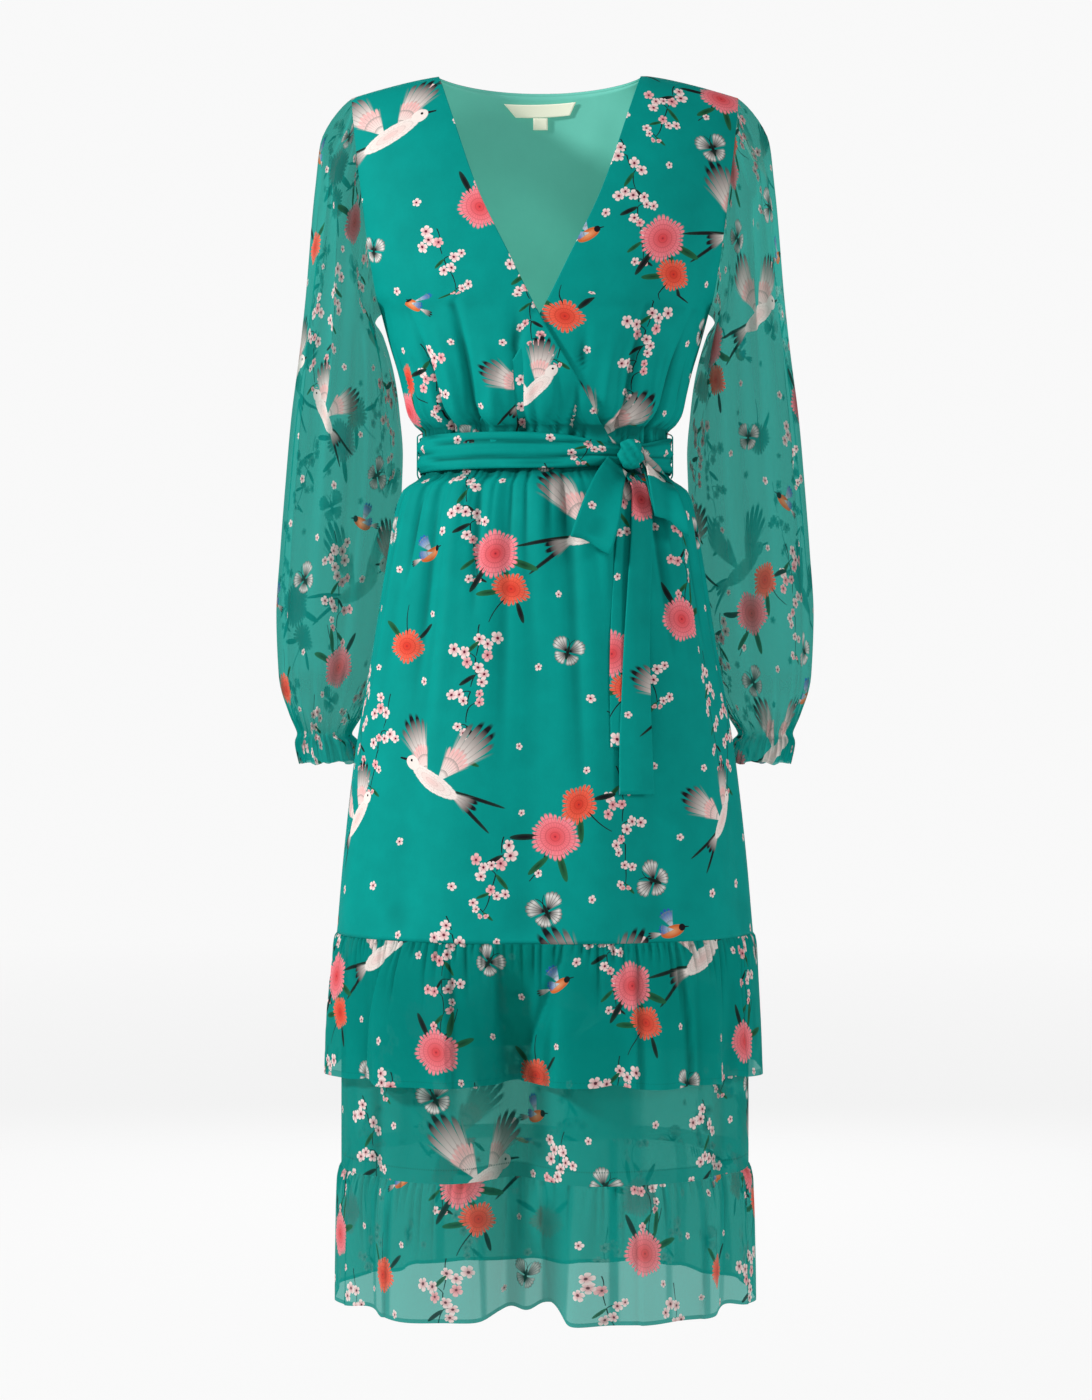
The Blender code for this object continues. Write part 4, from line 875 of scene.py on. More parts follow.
# Motifs in their own units. spots: kind, x, y, half length, half width, turn in degrees.
# strokes: ink, from x, y, to x, y, bow, half width.
MOTIFS = {
    "bird": (
        (
            ("dark_leaf", -0.44, -0.13, 0.24, 0.018, 204),
            ("dark_leaf", -0.45, 0.02, 0.26, 0.018, 176),
            ("tail", -0.16, -0.02, 0.32, 0.34, 190),
            ("flight", 0.08, 0.02, 0.64, 0.46, 44),
            ("coverts", 0.08, 0.02, 0.34, 0.25, 42),
            ("body", 0.02, 0.00, 0.30, 0.085, 8),
            ("flight", -0.04, 0.02, 0.74, 0.50, 112),
            ("coverts", -0.03, 0.02, 0.40, 0.28, 110),
            ("head", 0.31, 0.065, 0.082, 0.062, 12),
            ("ink_dot", 0.335, 0.080, 0.013, 0.013, 0),
        ),
        (("twig", 0.36, 0.07, 0.46, 0.055, 0.00, 0.012),),
    ),
    "small_bird": (
        (
            ("tail", -0.20, 0.0, 0.44, 0.40, 178),
            ("blue_wing", 0.08, 0.05, 0.56, 0.50, 104),
            ("orange", 0.06, 0.0, 0.34, 0.15, 6),
            ("blue_wing", 0.10, 0.04, 0.42, 0.34, 170),
            ("ink_dot", 0.33, 0.05, 0.09, 0.09, 0),
        ),
        (("twig", 0.40, 0.05, 0.52, 0.03, 0.0, 0.018),),
    ),
    "butterfly": (
        (
            ("wing", 0.02, -0.02, 0.42, 0.40, -46),
            ("wing", -0.02, -0.02, 0.42, 0.40, 226),
            ("wing", 0.02, 0.02, 0.60, 0.42, 38),
            ("wing", -0.02, 0.02, 0.60, 0.42, 142),
            ("dark_leaf", 0.0, 0.0, 0.24, 0.06, 90),
        ),
        (
            ("twig", 0.0, 0.18, 0.14, 0.46, 0.04, 0.012),
            ("twig", 0.0, 0.18, -0.14, 0.46, -0.04, 0.012),
        ),
    ),
    "pompom": (
        (
            ("leaf", 0.46, -0.34, 0.30, 0.07, -34),
            ("dark_leaf", -0.44, -0.38, 0.28, 0.06, 222),
            ("leaf", 0.10, -0.62, 0.26, 0.06, 262),
            ("pompom", 0.0, 0.0, 0.50, 0.46, 20),
        ),
        (("twig", 0.0, -0.2, 0.16, -0.95, 0.05, 0.014),),
    ),
    "coral_pompom": (
        (
            ("leaf", -0.44, -0.30, 0.30, 0.07, 212),
            ("dark_leaf", 0.42, -0.40, 0.26, 0.06, -48),
            ("coral", 0.0, 0.0, 0.48, 0.40, 0),
        ),
        (("twig", 0.0, -0.2, -0.14, -0.90, -0.05, 0.014),),
    ),
}

# Chart of one repeat: motif, x, y, size, turn, and -1 where it faces the other way.
REPEAT = (0.400, 0.440)
CHART = (
    ("bird", 0.208, 0.352, 0.112, 14, 1),
    ("bird", 0.052, 0.112, 0.104, -22, -1),
    ("bird", 0.350, 0.075, 0.084, 40, 1),
    ("pompom", 0.110, 0.330, 0.052, 15, 1),
    ("coral_pompom", 0.126, 0.296, 0.042, -25, 1),
    ("pompom", 0.300, 0.268, 0.048, 160, -1),
    ("coral_pompom", 0.190, 0.092, 0.044, 60, 1),
    ("pompom", 0.168, 0.062, 0.050, -40, 1),
    ("coral_pompom", 0.012, 0.242, 0.044, 170, -1),
    ("small_bird", 0.280, 0.412, 0.038, 10, 1),
    ("small_bird", 0.232, 0.168, 0.036, -35, -1),
    ("small_bird", 0.034, 0.330, 0.036, 25, 1),
    ("butterfly", 0.160, 0.432, 0.034, 25, 1),
    ("butterfly", 0.362, 0.352, 0.032, -40, 1),
    ("butterfly", 0.265, 0.020, 0.034, 70, 1),
    ("butterfly", 0.180, 0.235, 0.030, -15, 1),
)
GARLANDS = (  # top of each hanging garland, its length and its lean in degrees
    (0.066, 0.428, 0.120, 10),
    (0.322, 0.402, 0.115, -9),
    (0.096, 0.262, 0.128, -6),
    (0.256, 0.248, 0.060, 14),
    (0.338, 0.238, 0.110, 8),
    (0.226, 0.128, 0.110, 4),
    (0.394, 0.196, 0.090, -12),
    (0.120, 0.062, 0.070, -14),
)
ROUND = 6.28  # a spot is turned by up to this many radians
TWIG_STEP = 0.017  # between two stalks of a garland
TWIG_HALF = 0.00055  # half widths of its twig and of its stalks
STALK_HALF = 0.00042
LOOSE_TRIES = 600
LOOSE_APART = 0.050  # least distance between two loose blossoms
BIRD_SIZE = 0.08  # past a cut's edge, no spot or stroke from further off reaches it
NEAR = 0.12  # a spot or stroke further from a face than this never meets it
OUTSIDE = 9.0  # coordinate that no ink reaches
SPOT_LAYERS = 5
STROKE_LAYERS = 2


def garland(own, x, y, length, lean):
    """A flowering twig that hangs down, as spots and strokes: clusters of one to four blossoms on short
    stalks to either side of it, smaller towards its end, with slender leaves between them."""
    spots, strokes = [], []
    steps = max(3, round(length / TWIG_STEP))
    side = 1 if own.uniform() < 0.5 else -1
    for k in range(steps):
        left = 1 - k / steps
        foot_x = x + length / steps * math.tan(math.radians(lean)) + own.uniform(-0.0035, 0.0035)
        foot_y = y - length / steps
        strokes.append(("twig", x, y, foot_x, foot_y, own.uniform(-0.0016, 0.0016), TWIG_HALF))
        reach = own.uniform(0.007, 0.013) * (0.6 + 0.4 * left)
        end_x, end_y = foot_x + side * reach, foot_y + own.uniform(-0.004, 0.007)
        strokes.append(("twig", foot_x, foot_y, end_x, end_y, side * 0.0015, STALK_HALF))
        heading = own.uniform(0, 2 * math.pi)
        for bloom in range(1 + round(3.2 * left * own.uniform(0.5, 1.1))):
            half = own.uniform(0.0058, 0.0080) * (0.62 + 0.38 * left)
            away = 0 if bloom == 0 else own.uniform(0.0085, 0.0115) * (0.6 + 0.4 * left)
            turn = heading + bloom * 2.1
            kind = "rosy" if own.uniform() < 0.25 else "blossom"
            bloom_x, bloom_y = end_x + away * math.cos(turn), end_y + away * math.sin(turn)
            spots.append((kind, bloom_x, bloom_y, half, half * 0.86, own.uniform(0, ROUND)))
        if own.uniform() < 0.5:
            down = math.radians(-90 - side * own.uniform(25, 70))
            leaf = own.uniform(0.006, 0.010)
            leaf_x, leaf_y = foot_x + leaf * math.cos(down), foot_y + leaf * math.sin(down)
            kind = "leaf" if own.uniform() < 0.6 else "dark_leaf"
            spots.append((kind, leaf_x, leaf_y, leaf, leaf * 0.24, down))
        x, y, side = foot_x, foot_y, -side
    for shift in (-0.0025, 0.0030):
        spots.append(("bud", x + shift, y - 0.004, 0.0030, 0.0022, own.uniform(0, ROUND)))
    return spots, strokes


def placed(motif, x, y, size, turn, facing):
    """A motif's spots and strokes in the repeat's metres: scaled, flipped where facing is -1, turned and
    moved. Spots: kind, x, y, half length, half width, radians. Strokes: ink, ends, bow, half width."""
    angle = math.radians(turn)
    cos, sin = math.cos(angle) * size, math.sin(angle) * size

    def point(px, py):
        return x + facing * px * cos - py * sin, y + facing * px * sin + py * cos

    heading = angle if facing > 0 else angle + math.pi
    spots = [
        (kind, *point(px, py), length * size, width * size, heading + facing * math.radians(own))
        for kind, px, py, length, width, own in motif[0]
    ]
    strokes = [
        (ink, *point(x0, y0), *point(x1, y1), facing * bow * size, half * size)
        for ink, x0, y0, x1, y1, bow, half in motif[1]
    ]
    return spots, strokes


def far_from(places, x, y):
    """Whether a place in the repeat is clear of others, each x, y and radius."""
    for other_x, other_y, radius in places:
        if math.hypot(wrapped(x - other_x, REPEAT[0]), wrapped(y - other_y, REPEAT[1])) < radius:
            return False
    return True


def repeat():
    """All spots and strokes of one repeat, lowest first: garlands, loose blossoms, charted motifs."""
    own = np.random.default_rng(7)
    spots, strokes = [], []
    for place in GARLANDS:
        found = garland(own, *place)
        spots.extend(found[0])
        strokes.extend(found[1])
    taken = [(x, y, 0.5 * size + 0.008) for _, x, y, size, _, _ in CHART]
    taken += [(spot[1], spot[2], 0.020) for spot in spots]
    for _ in range(LOOSE_TRIES):
        x, y = (own.uniform(0, extent) for extent in REPEAT)
        if far_from(taken, x, y):
            half = own.uniform(0.0038, 0.0056)
            spots.append(("blossom", x, y, half, half * 0.85, own.uniform(0, ROUND)))
            taken.append((x, y, LOOSE_APART))
    for name, *place in CHART:
        found = placed(MOTIFS[name], *place)
        spots.extend(found[0])
        strokes.extend(found[1])
    return spots, strokes


def tiled(rows, places, lowest, highest):
    """Rows of numbers repeated over a cut: places gives the columns that hold an x, each followed by
    its y. Rows that lie outside the cut by more than a bird's size are dropped."""
    copies = []
    ranges = (
        range(math.floor(low / extent) - 1, math.ceil(high / extent) + 1)
        for low, high, extent in zip(lowest, highest, REPEAT)
    )
    for numbers in itertools.product(*ranges):
        moved = rows.copy()
        for place in places:
            moved[:, place : place + 2] += np.array(numbers) * REPEAT
        middle = moved[:, places[0] : places[0] + 2]
        near = (middle > lowest - BIRD_SIZE) & (middle < highest + BIRD_SIZE)
        copies.append(moved[near.all(axis=1)])
    return np.concatenate(copies)


def spot_coordinates(spots, flat):
    """Each spot's own coordinates of its flat points: turned to its axes, over its half sizes."""
    spots = spots[..., None, :]
    away = flat - spots[..., 1:3]
    cos, sin = np.cos(spots[..., 5]), np.sin(spots[..., 5])
    along = away[..., 0] * cos + away[..., 1] * sin
    beyond = away[..., 1] * cos - away[..., 0] * sin
    return np.stack((along, beyond), axis=-1) / spots[..., 3:5]


def stroke_coordinates(strokes, flat):
    """Each stroke's own coordinates of its flat points: share of the way along its chord, metres off."""
    strokes = strokes[..., None, :]
    start, chord = strokes[..., 1:3], strokes[..., 3:5] - strokes[..., 1:3]
    length = np.linalg.norm(chord, axis=-1, keepdims=True)
    away = flat - start
    along = (away * chord).sum(axis=-1) / length[..., 0] ** 2
    beyond = (away[..., 1] * chord[..., 0] - away[..., 0] * chord[..., 1]) / length[..., 0]
    return np.stack((along, beyond), axis=-1)


def top_rows(rows, faces, layers, meets):
    """For each face, given by its middle and its reach, the numbers of the topmost rows that meet it,
    in as many layers, and -1 elsewhere."""
    chosen = np.full((len(faces), layers), -1)
    count = np.zeros(len(faces), int)
    for number in range(len(rows) - 1, -1, -1):
        near = np.abs(faces[:, :2] - rows[number, 1:3]).max(axis=1) < NEAR
        hit = np.flatnonzero(near & (count < layers))
        hit = hit[meets(rows[number], faces[hit])]
        chosen[hit, count[hit]] = number
        count[hit] += 1
    return chosen


def lay_print(mesh, flat, offset_of_cut):
    """Put the print on a cut. Its faces' corners lie at flat, in metres, and each face keeps the spots
    and strokes that meet it: their own coordinates at its corners, with the strength of a spot's lines
    or a stroke's half width, and their shape and colours."""
    flat = flat + np.array(offset_of_cut)
    middles = flat.mean(axis=1)
    margins = np.linalg.norm(flat - middles[:, None], axis=-1).max(axis=1) * 1.05
    middles = np.column_stack((middles, margins))
    lowest, highest = flat.min(axis=(0, 1)), flat.max(axis=(0, 1))
    kinds = list(KINDS)

    def spot_meets(spot, points):
        place = spot_coordinates(spot, points[:, :2])
        reach = np.hypot(place[:, 0], place[:, 1])
        span = KINDS[kinds[int(spot[0])]][0][3]
        slack = points[:, 2] / min(spot[3], spot[4])
        inside = np.abs(np.arctan2(place[:, 1], place[:, 0])) < span + slack / np.maximum(reach, 1e-6)
        return (reach < 1 + slack) & (inside | (reach < slack))

    def stroke_meets(stroke, points):
        place = stroke_coordinates(stroke, points[:, :2])
        slack = points[:, 2] / math.hypot(*(stroke[3:5] - stroke[1:3]))
        t = np.clip(place[:, 0], 0, 1)
        off = np.abs(place[:, 1] - stroke[5] * 4 * t * (1 - t))
        return (np.abs(place[:, 0] - 0.5) < 0.5 + slack) & (off < stroke[6] + points[:, 2] * 1.2)

    looks = [np.array([KINDS[kind][part] for kind in kinds], float) for part in range(3)]
    lines = np.array([KINDS[kind][3] for kind in kinds])
    colours = np.array(list(INKS.values()))

    def spot_look(row):
        kind = row[:, 0].astype(int)
        return lines[kind], {part: look[kind] for part, look in zip(("form", "inner", "outer"), looks)}

    def stroke_look(row):
        ink = np.column_stack((colours[row[:, 0].astype(int)], row[:, 5]))
        return row[:, 6], {"ink": ink}

    for what, charted, places, layers, coordinates, meets, look in (
        ("spot", SPOTS, (1,), SPOT_LAYERS, spot_coordinates, spot_meets, spot_look),
        ("stroke", STROKES, (1, 3), STROKE_LAYERS, stroke_coordinates, stroke_meets, stroke_look),
    ):
        rows = tiled(charted, places, lowest, highest)
        for layer, chosen in enumerate(top_rows(rows, middles, layers, meets).T):
            used, row = chosen >= 0, rows[np.maximum(chosen, 0)]
            place = np.full((*flat.shape[:2], 3), OUTSIDE)
            place[used, :, :2] = coordinates(row[used], flat[used])
            third, faces = look(row)
            place[..., 2] = third[:, None]
            keep(mesh, f"{what}{layer}_place", "FLOAT_VECTOR", "CORNER", place)
            for part, values in faces.items():
                keep(mesh, f"{what}{layer}_{part}", "FLOAT_COLOR", "FACE", values)


def keep(mesh, name, kind, domain, values):
    """Store values as a mesh attribute."""
    attribute = mesh.attributes.new(name, kind, domain)
    attribute.data.foreach_set("vector" if kind == "FLOAT_VECTOR" else "color", values.ravel())


def numbered(rows, names):
    """Rows as one array, with each name replaced by its number."""
    return np.array([(names.index(row[0]), *row[1:]) for row in rows], float)


SPOTS, STROKES = (numbered(rows, list(names)) for rows, names in zip(repeat(), (KINDS, INKS)))


# ---------------------------------------------------------------- making cloth
SETTLING = 60  # rounds of averaging over the rows of a cut
NEIGHBOURS = 12  # rounds that make a point's neighbourhood
FULL_TROUGH = 0.0013


def lengths(points, axis):
    """Distance along each line of a grid of points, from its first one."""
    steps = np.linalg.norm(np.diff(points, axis=axis), axis=-1)
    return np.insert(steps.cumsum(axis=axis), 0, 0, axis=axis)


def settled(values):
    """Values averaged with those of the rows above and below, so that no row is shifted by its own
    folds."""
    for _ in range(SETTLING):
        padded = np.pad(values, ((1, 1), (0, 0)), mode="edge")
        values = (padded[:-2] + 2 * values + padded[2:]) / 4
    return values


def flat_rows(points, across):
    """Flat coordinates: metres across, and the mean metres down to each row as a negative height."""
    down = lengths(points, 0).mean(axis=1, keepdims=True)
    return np.stack(np.broadcast_arrays(across, -down), axis=-1)


def flat_cut(points):
    """Flat coordinates of a panel whose rows run level: metres along each row from the dress's middle
    plane."""
    across = lengths(points, 1)
    middle = np.abs(points[..., 0]).argmin(axis=1)[:, None]
    shift = np.take_along_axis(points[..., 0] - across, middle, axis=1)
    return flat_rows(points, settled(across + shift))


def flat_ring(points):
    """Flat coordinates of a gathered panel: metres along each row from its middle column."""
    across = lengths(points, 1)
    return flat_rows(points, settled(across - across[:, across.shape[1] // 2, None]))


def widest_row(points):
    """Metres across a cut of one width: the share along it of its widest row."""
    return np.linspace(-0.5, 0.5, points.shape[1]) * lengths(points, 1)[:, -1].max()


def flat_strip(points):
    """Flat coordinates of a flounce, cut as a strip of one width."""
    return flat_rows(points, widest_row(points))


def flat_tube(points):
    """Flat coordinates of a tube of one width, with metres down each column from the height where it
    starts."""
    down = points[:1, :, 2] - lengths(points, 0)
    return np.stack(np.broadcast_arrays(widest_row(points), down), axis=-1)


def troughs(points, facing):
    """How far each point lies in a fold, from 0 to 1: its depth below the mean of its neighbours, along
    the outward normal, over a depth that counts as full. The materials paint shade by it, darker in the
    troughs."""
    mean = points
    for _ in range(NEIGHBOURS):
        for axis in (0, 1):
            ends = [(1, 1) if axis == k else (0, 0) for k in range(3)]
            padded = np.pad(mean, ends, mode="edge")
            before, after = (padded[:-2], padded[2:]) if axis == 0 else (padded[:, :-2], padded[:, 2:])
            mean = (before + 2 * mean + after) / 4
    normal = unit(np.cross(np.gradient(points, axis=1), np.gradient(points, axis=0))) * facing
    return np.clip(((mean - points) * normal).sum(axis=-1) / FULL_TROUGH, 0, 1)


def grid_faces(rows, columns, facing):
    """Row and column numbers of the corners of a grid's quads. Facing 1 is towards across x down, and -1
    is away from it."""
    i, j = np.meshgrid(np.arange(rows - 1), np.arange(columns - 1), indexing="ij")
    corners = np.stack((i, i, i + 1, i + 1), axis=-1), np.stack((j, j + 1, j + 1, j), axis=-1)
    return [part.reshape(-1, 4)[:, ::facing] for part in corners]


def in_scene(name, data):
    """A new object with its data, in the scene."""
    thing = bpy.data.objects.new(name, data)
    bpy.context.scene.collection.objects.link(thing)
    return thing


def piece_of_cloth(
    name, node, points, look, closed=False, facing=1, skin=0.0, cut=None, hem=0, side=0,
    unrolled=flat_ring, folded=0.0,
):
    """A grid of points (row, column) as a piece that stands for a node.

    look is its materials and a name for their slot, which nothing uses. A closed grid's last column is
    its first one again. A skin gives the cloth a thickness, half on either side. cut is where its middle
    top lies on the print. hem and side are the depths of the doubled edges at its last row and at its
    first and last columns: the edge attribute holds the distance from each, in depths, and then how far
    the cloth lies folded on itself. unrolled gives its flat coordinates.
    """
    rows, columns = points.shape[:2]
    across = columns - 1 if closed else columns
    corner_rows, corner_columns = grid_faces(rows, columns, facing)
    numbers = corner_rows * across + corner_columns % across
    mesh = bpy.data.meshes.new(name)
    mesh.from_pydata(points[:, :across].reshape(-1, 3), [], numbers.tolist())
    flat = unrolled(points)
    corners = flat[corner_rows, corner_columns]
    uv_map = mesh.uv_layers.new(name="cut")
    uv_map.data.foreach_set("uv", corners.ravel())
    edge = np.full((rows, columns, 3), OUTSIDE)
    edge[..., 2] = folded
    if hem:
        edge[..., 0] = (flat[..., 1] - flat[-1:, :, 1]) / hem
    if side:
        first, last = flat[:, :1, 0], flat[:, -1:, 0]
        edge[..., 1] = np.minimum(flat[..., 0] - first, last - flat[..., 0]) / side
    keep(mesh, "edge", "FLOAT_VECTOR", "CORNER", edge[corner_rows, corner_columns])
    # painted shade: each corner's fold depth, by which the materials darken the cloth in its troughs
    fold_darkening = np.repeat(troughs(points, facing)[..., None], 3, axis=-1)
    keep(mesh, "trough", "FLOAT_VECTOR", "CORNER", fold_darkening[corner_rows, corner_columns])
    if cut is not None:
        lay_print(mesh, corners, cut)
    mesh.shade_smooth()
    mesh.update()
    piece = in_scene(name, mesh)
    materials, slot = look
    for cloth_material in materials:
        mesh.materials.append(cloth_material)
    if skin:
        wall = piece.modifiers.new("skin", "SOLIDIFY")
        wall.thickness = skin
        wall.offset = 0
        wall.material_offset = len(materials) - 1
    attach(piece, "root")
    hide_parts(node)
    return piece


def on_grid(surface, across, down):
    """A surface's points at every pair of the two lists of numbers, rows first."""
    return surface(*np.meshgrid(across, down))


# ---------------------------------------------------------------- materials
def operator(operation, swapped=False):
    """A method that adds the Math node for one sign."""

    def method(self, other=0.0):
        first, second = (other, self) if swapped else (self, other)
        return self.nodes.maths(operation, first, second)

    return method


class Value:
    """A socket's number. Arithmetic on it adds Math nodes."""

    def __init__(self, nodes, socket):
        self.nodes, self.socket = nodes, socket

    __add__ = __radd__ = operator("ADD")
    __sub__ = operator("SUBTRACT")
    __rsub__ = operator("SUBTRACT", swapped=True)
    __mul__ = __rmul__ = operator("MULTIPLY")
    __truediv__ = operator("DIVIDE")
    __pow__ = operator("POWER")
    __lt__ = operator("LESS_THAN")
    __gt__ = operator("GREATER_THAN")
    __abs__ = operator("ABSOLUTE")


class Nodes:
    """The node tree of one new material."""

    def __init__(self, name):
        self.material = bpy.data.materials.new(name)
        self.material.use_nodes = True
        self.tree = self.material.node_tree
        self.tree.nodes.clear()

    def add(self, kind, settings=(), sockets=()):
        """A node of a kind, its settings first and then its sockets' values or links, by name or
        number."""
        node = self.tree.nodes.new(kind)
        for key, value in dict(settings).items():
            setattr(node, key, value)
        for key, value in dict(sockets).items():
            if isinstance(value, Value):
                self.tree.links.new(value.socket, node.inputs[key])
            else:
                node.inputs[key].default_value = value
        return node

    def out(self, node, key=0):
        """An output of a node, by name or number."""
        return Value(self, node.outputs[key])

    def maths(self, operation, first, second=0.0, clamp=False):
        """The value of one Math node."""
        settings = {"operation": operation, "use_clamp": clamp}
        return self.out(self.add("ShaderNodeMath", settings, {0: first, 1: second}))

    def clamp(self, value):
        """A value held between 0 and 1."""
        return self.maths("ADD", value, 0.0, clamp=True)

    def mix(self, share, first, second):
        """Colour between two others."""
        node = self.add("ShaderNodeMix", {"data_type": "RGBA"}, {0: share, 6: first, 7: second})
        return self.out(node, 2)

    def mix_shaders(self, share, first, second):
        """Shader between two others."""
        return self.out(self.add("ShaderNodeMixShader", (), {0: share, 1: first, 2: second}))

    def split(self, value):
        """The three numbers of a vector."""
        node = self.add("ShaderNodeSeparateXYZ", (), {0: value})
        return [self.out(node, k) for k in range(3)]

    def attribute(self, name):
        """The colour, the vector and the alpha of a mesh attribute."""
        node = self.add("ShaderNodeAttribute", {"attribute_name": name})
        return [self.out(node, key) for key in ("Color", "Vector", "Alpha")]


BLACK = (0.0, 0.0, 0.0, 1)
# Painted shade: the colour that the cloth is darkened towards in its fold troughs.
PAINTED_FOLD_SHADE = (0.300, 0.400, 0.390, 1)
SHEER_TINT = (0.520, 0.900, 0.835, 1)
GLOW_GREEN = (0.010, 0.400, 0.345, 1)
# Painted light: emissions that brighten the sheer sleeves and the gathered flounces, standing in for
# light scattered through the cloth.
SLEEVE_PAINTED_GLOW = (0.0, 0.080, 0.074, 1)
FLOUNCE_PAINTED_GLOW = (0.0, 0.055, 0.050, 1)
# Painted light: an emission that brightens the lining and the inner side of the lined cloth, so that its
# shaded parts come out nearly as bright as its lit ones.
LINING_PAINTED_GLOW = (0.036, 0.150, 0.120, 1)
# Painted light: an emission that brightens the woven label where it lies in shade.
LABEL_PAINTED_GLOW = (0.250, 0.225, 0.170, 1)
LABEL_THREADS = ((0.800, 0.740, 0.600, 1), (0.940, 0.900, 0.800, 1))
HEART_INK = (0.110, 0.010, 0.030, 1)
STITCH_GREEN = (0.002, 0.090, 0.075, 1)
LIT_SHARE = 0.38  # share of sheer cloth's light that comes from behind it
INK_BLOCKS = 0.26  # how much of that share ink takes away
PAINTED_SHADE_STRENGTH = 0.85  # how far a full trough is darkened towards the painted fold shade
STITCHES = 420.0  # for each metre of a hem
STITCH_LINE = 0.93  # where they run, in depths of the hem
INK_COVER = 0.9  # how opaque ink makes sheer cloth


def spot_ink(nodes, layer, colour, cover):
    """One layer of spots over a colour.

    With r and a the polar coordinates of a point in the spot and p = petals * a / 2, it is inked where
    a is within its span and r is below 1 - notch * ((1 - |cos p|) ** 2 + 0.25 * (1 - cos 0.37p)), which
    makes its petals uneven. Inner and outer colours run into each other along r. Lines are drawn where
    cos p is small, shifted by half a petal from ring to ring, and at the rings' edges, and the heart of
    a flower is dark.
    """
    _, place, _ = nodes.attribute(f"spot{layer}_place")
    _, form, span = nodes.attribute(f"spot{layer}_form")
    inner, _, core = nodes.attribute(f"spot{layer}_inner")
    outer, _, start = nodes.attribute(f"spot{layer}_outer")
    u, v, strength = nodes.split(place)
    petals, notch, rings = nodes.split(form)
    r = (u * u + v * v) ** 0.5
    a = nodes.maths("ARCTAN2", v, u)
    phase = a * petals * 0.5
    lobe = 1.0 - abs(nodes.maths("COSINE", phase))
    uneven = 1.0 - nodes.maths("COSINE", phase * 0.37)
    inside = nodes.clamp((1.0 - notch * (lobe * lobe + uneven * 0.25) - r) * 16.0)
    inside = inside * nodes.clamp((span - abs(a)) * 9.0)
    ring_place = r * rings
    ring_number = nodes.maths("FLOOR", ring_place)
    petal = abs(nodes.maths("COSINE", phase + ring_number * (math.pi / 2)))
    between = nodes.clamp(1.0 - petal * 2.6)
    rim = nodes.clamp((nodes.maths("FRACT", ring_place) - 0.74) * 4.0)
    lines = nodes.clamp(between + rim) * strength * (r > core)
    ink = nodes.mix(nodes.clamp((r - start) / (1.02 - start) * 1.3), inner, outer)
    ink = nodes.mix(lines, ink, nodes.mix(0.62, inner, BLACK))
    ink = nodes.mix(nodes.clamp((core - r) * 14.0), ink, HEART_INK)
    return nodes.mix(inside, colour, ink), nodes.maths("MAXIMUM", cover, inside)


def stroke_ink(nodes, layer, colour, cover):
    """One layer of strokes over a colour: inked where a point lies within the half width, thinner
    towards the far end, of the bowed line whose height over its chord is bow * 4t(1 - t)."""
    _, place, _ = nodes.attribute(f"stroke{layer}_place")
    ink, _, bow = nodes.attribute(f"stroke{layer}_ink")
    t, off, half = nodes.split(place)
    off = abs(off - bow * t * (1.0 - t) * 4.0)
    half = half * (1.15 - t * 0.55)
    inside = nodes.clamp((half - off) * 4000.0 + 0.5)
    inside = inside * (abs(t - 0.5) < 0.5)
    return nodes.mix(inside, colour, ink), nodes.maths("MAXIMUM", cover, inside)


def cloth_bump(nodes, strength):
    """Crepe: fine pebbles of twisted yarn, a little longer down the cloth than across it."""
    place = nodes.out(nodes.add("ShaderNodeTexCoord"), "Object")
    stretched = nodes.add("ShaderNodeMapping", (), {"Vector": place, "Scale": (1.0, 1.0, 0.6)})
    fine = nodes.add("ShaderNodeTexNoise", (), {"Vector": nodes.out(stretched), "Scale": 1500.0})
    coarse = nodes.add("ShaderNodeTexNoise", (), {"Vector": nodes.out(stretched), "Scale": 260.0})
    height = nodes.out(fine) * 0.5 + nodes.out(coarse) * 0.7
    sockets = {"Strength": strength, "Distance": 0.0006, "Height": height}
    return nodes.out(nodes.add("ShaderNodeBump", (), sockets))


def mottled(nodes, colour, depth=0.10):
    """A colour with soft uneven patches, as dyed cloth has."""
    place = nodes.out(nodes.add("ShaderNodeTexCoord"), "Object")
    patches = nodes.add("ShaderNodeTexNoise", (), {"Vector": place, "Scale": 38.0, "Detail": 3.0})
    darker = tuple(channel * (1 - 2.4 * depth) for channel in colour[:3]) + (1,)
    return nodes.mix(nodes.out(patches), (*colour, 1), darker)


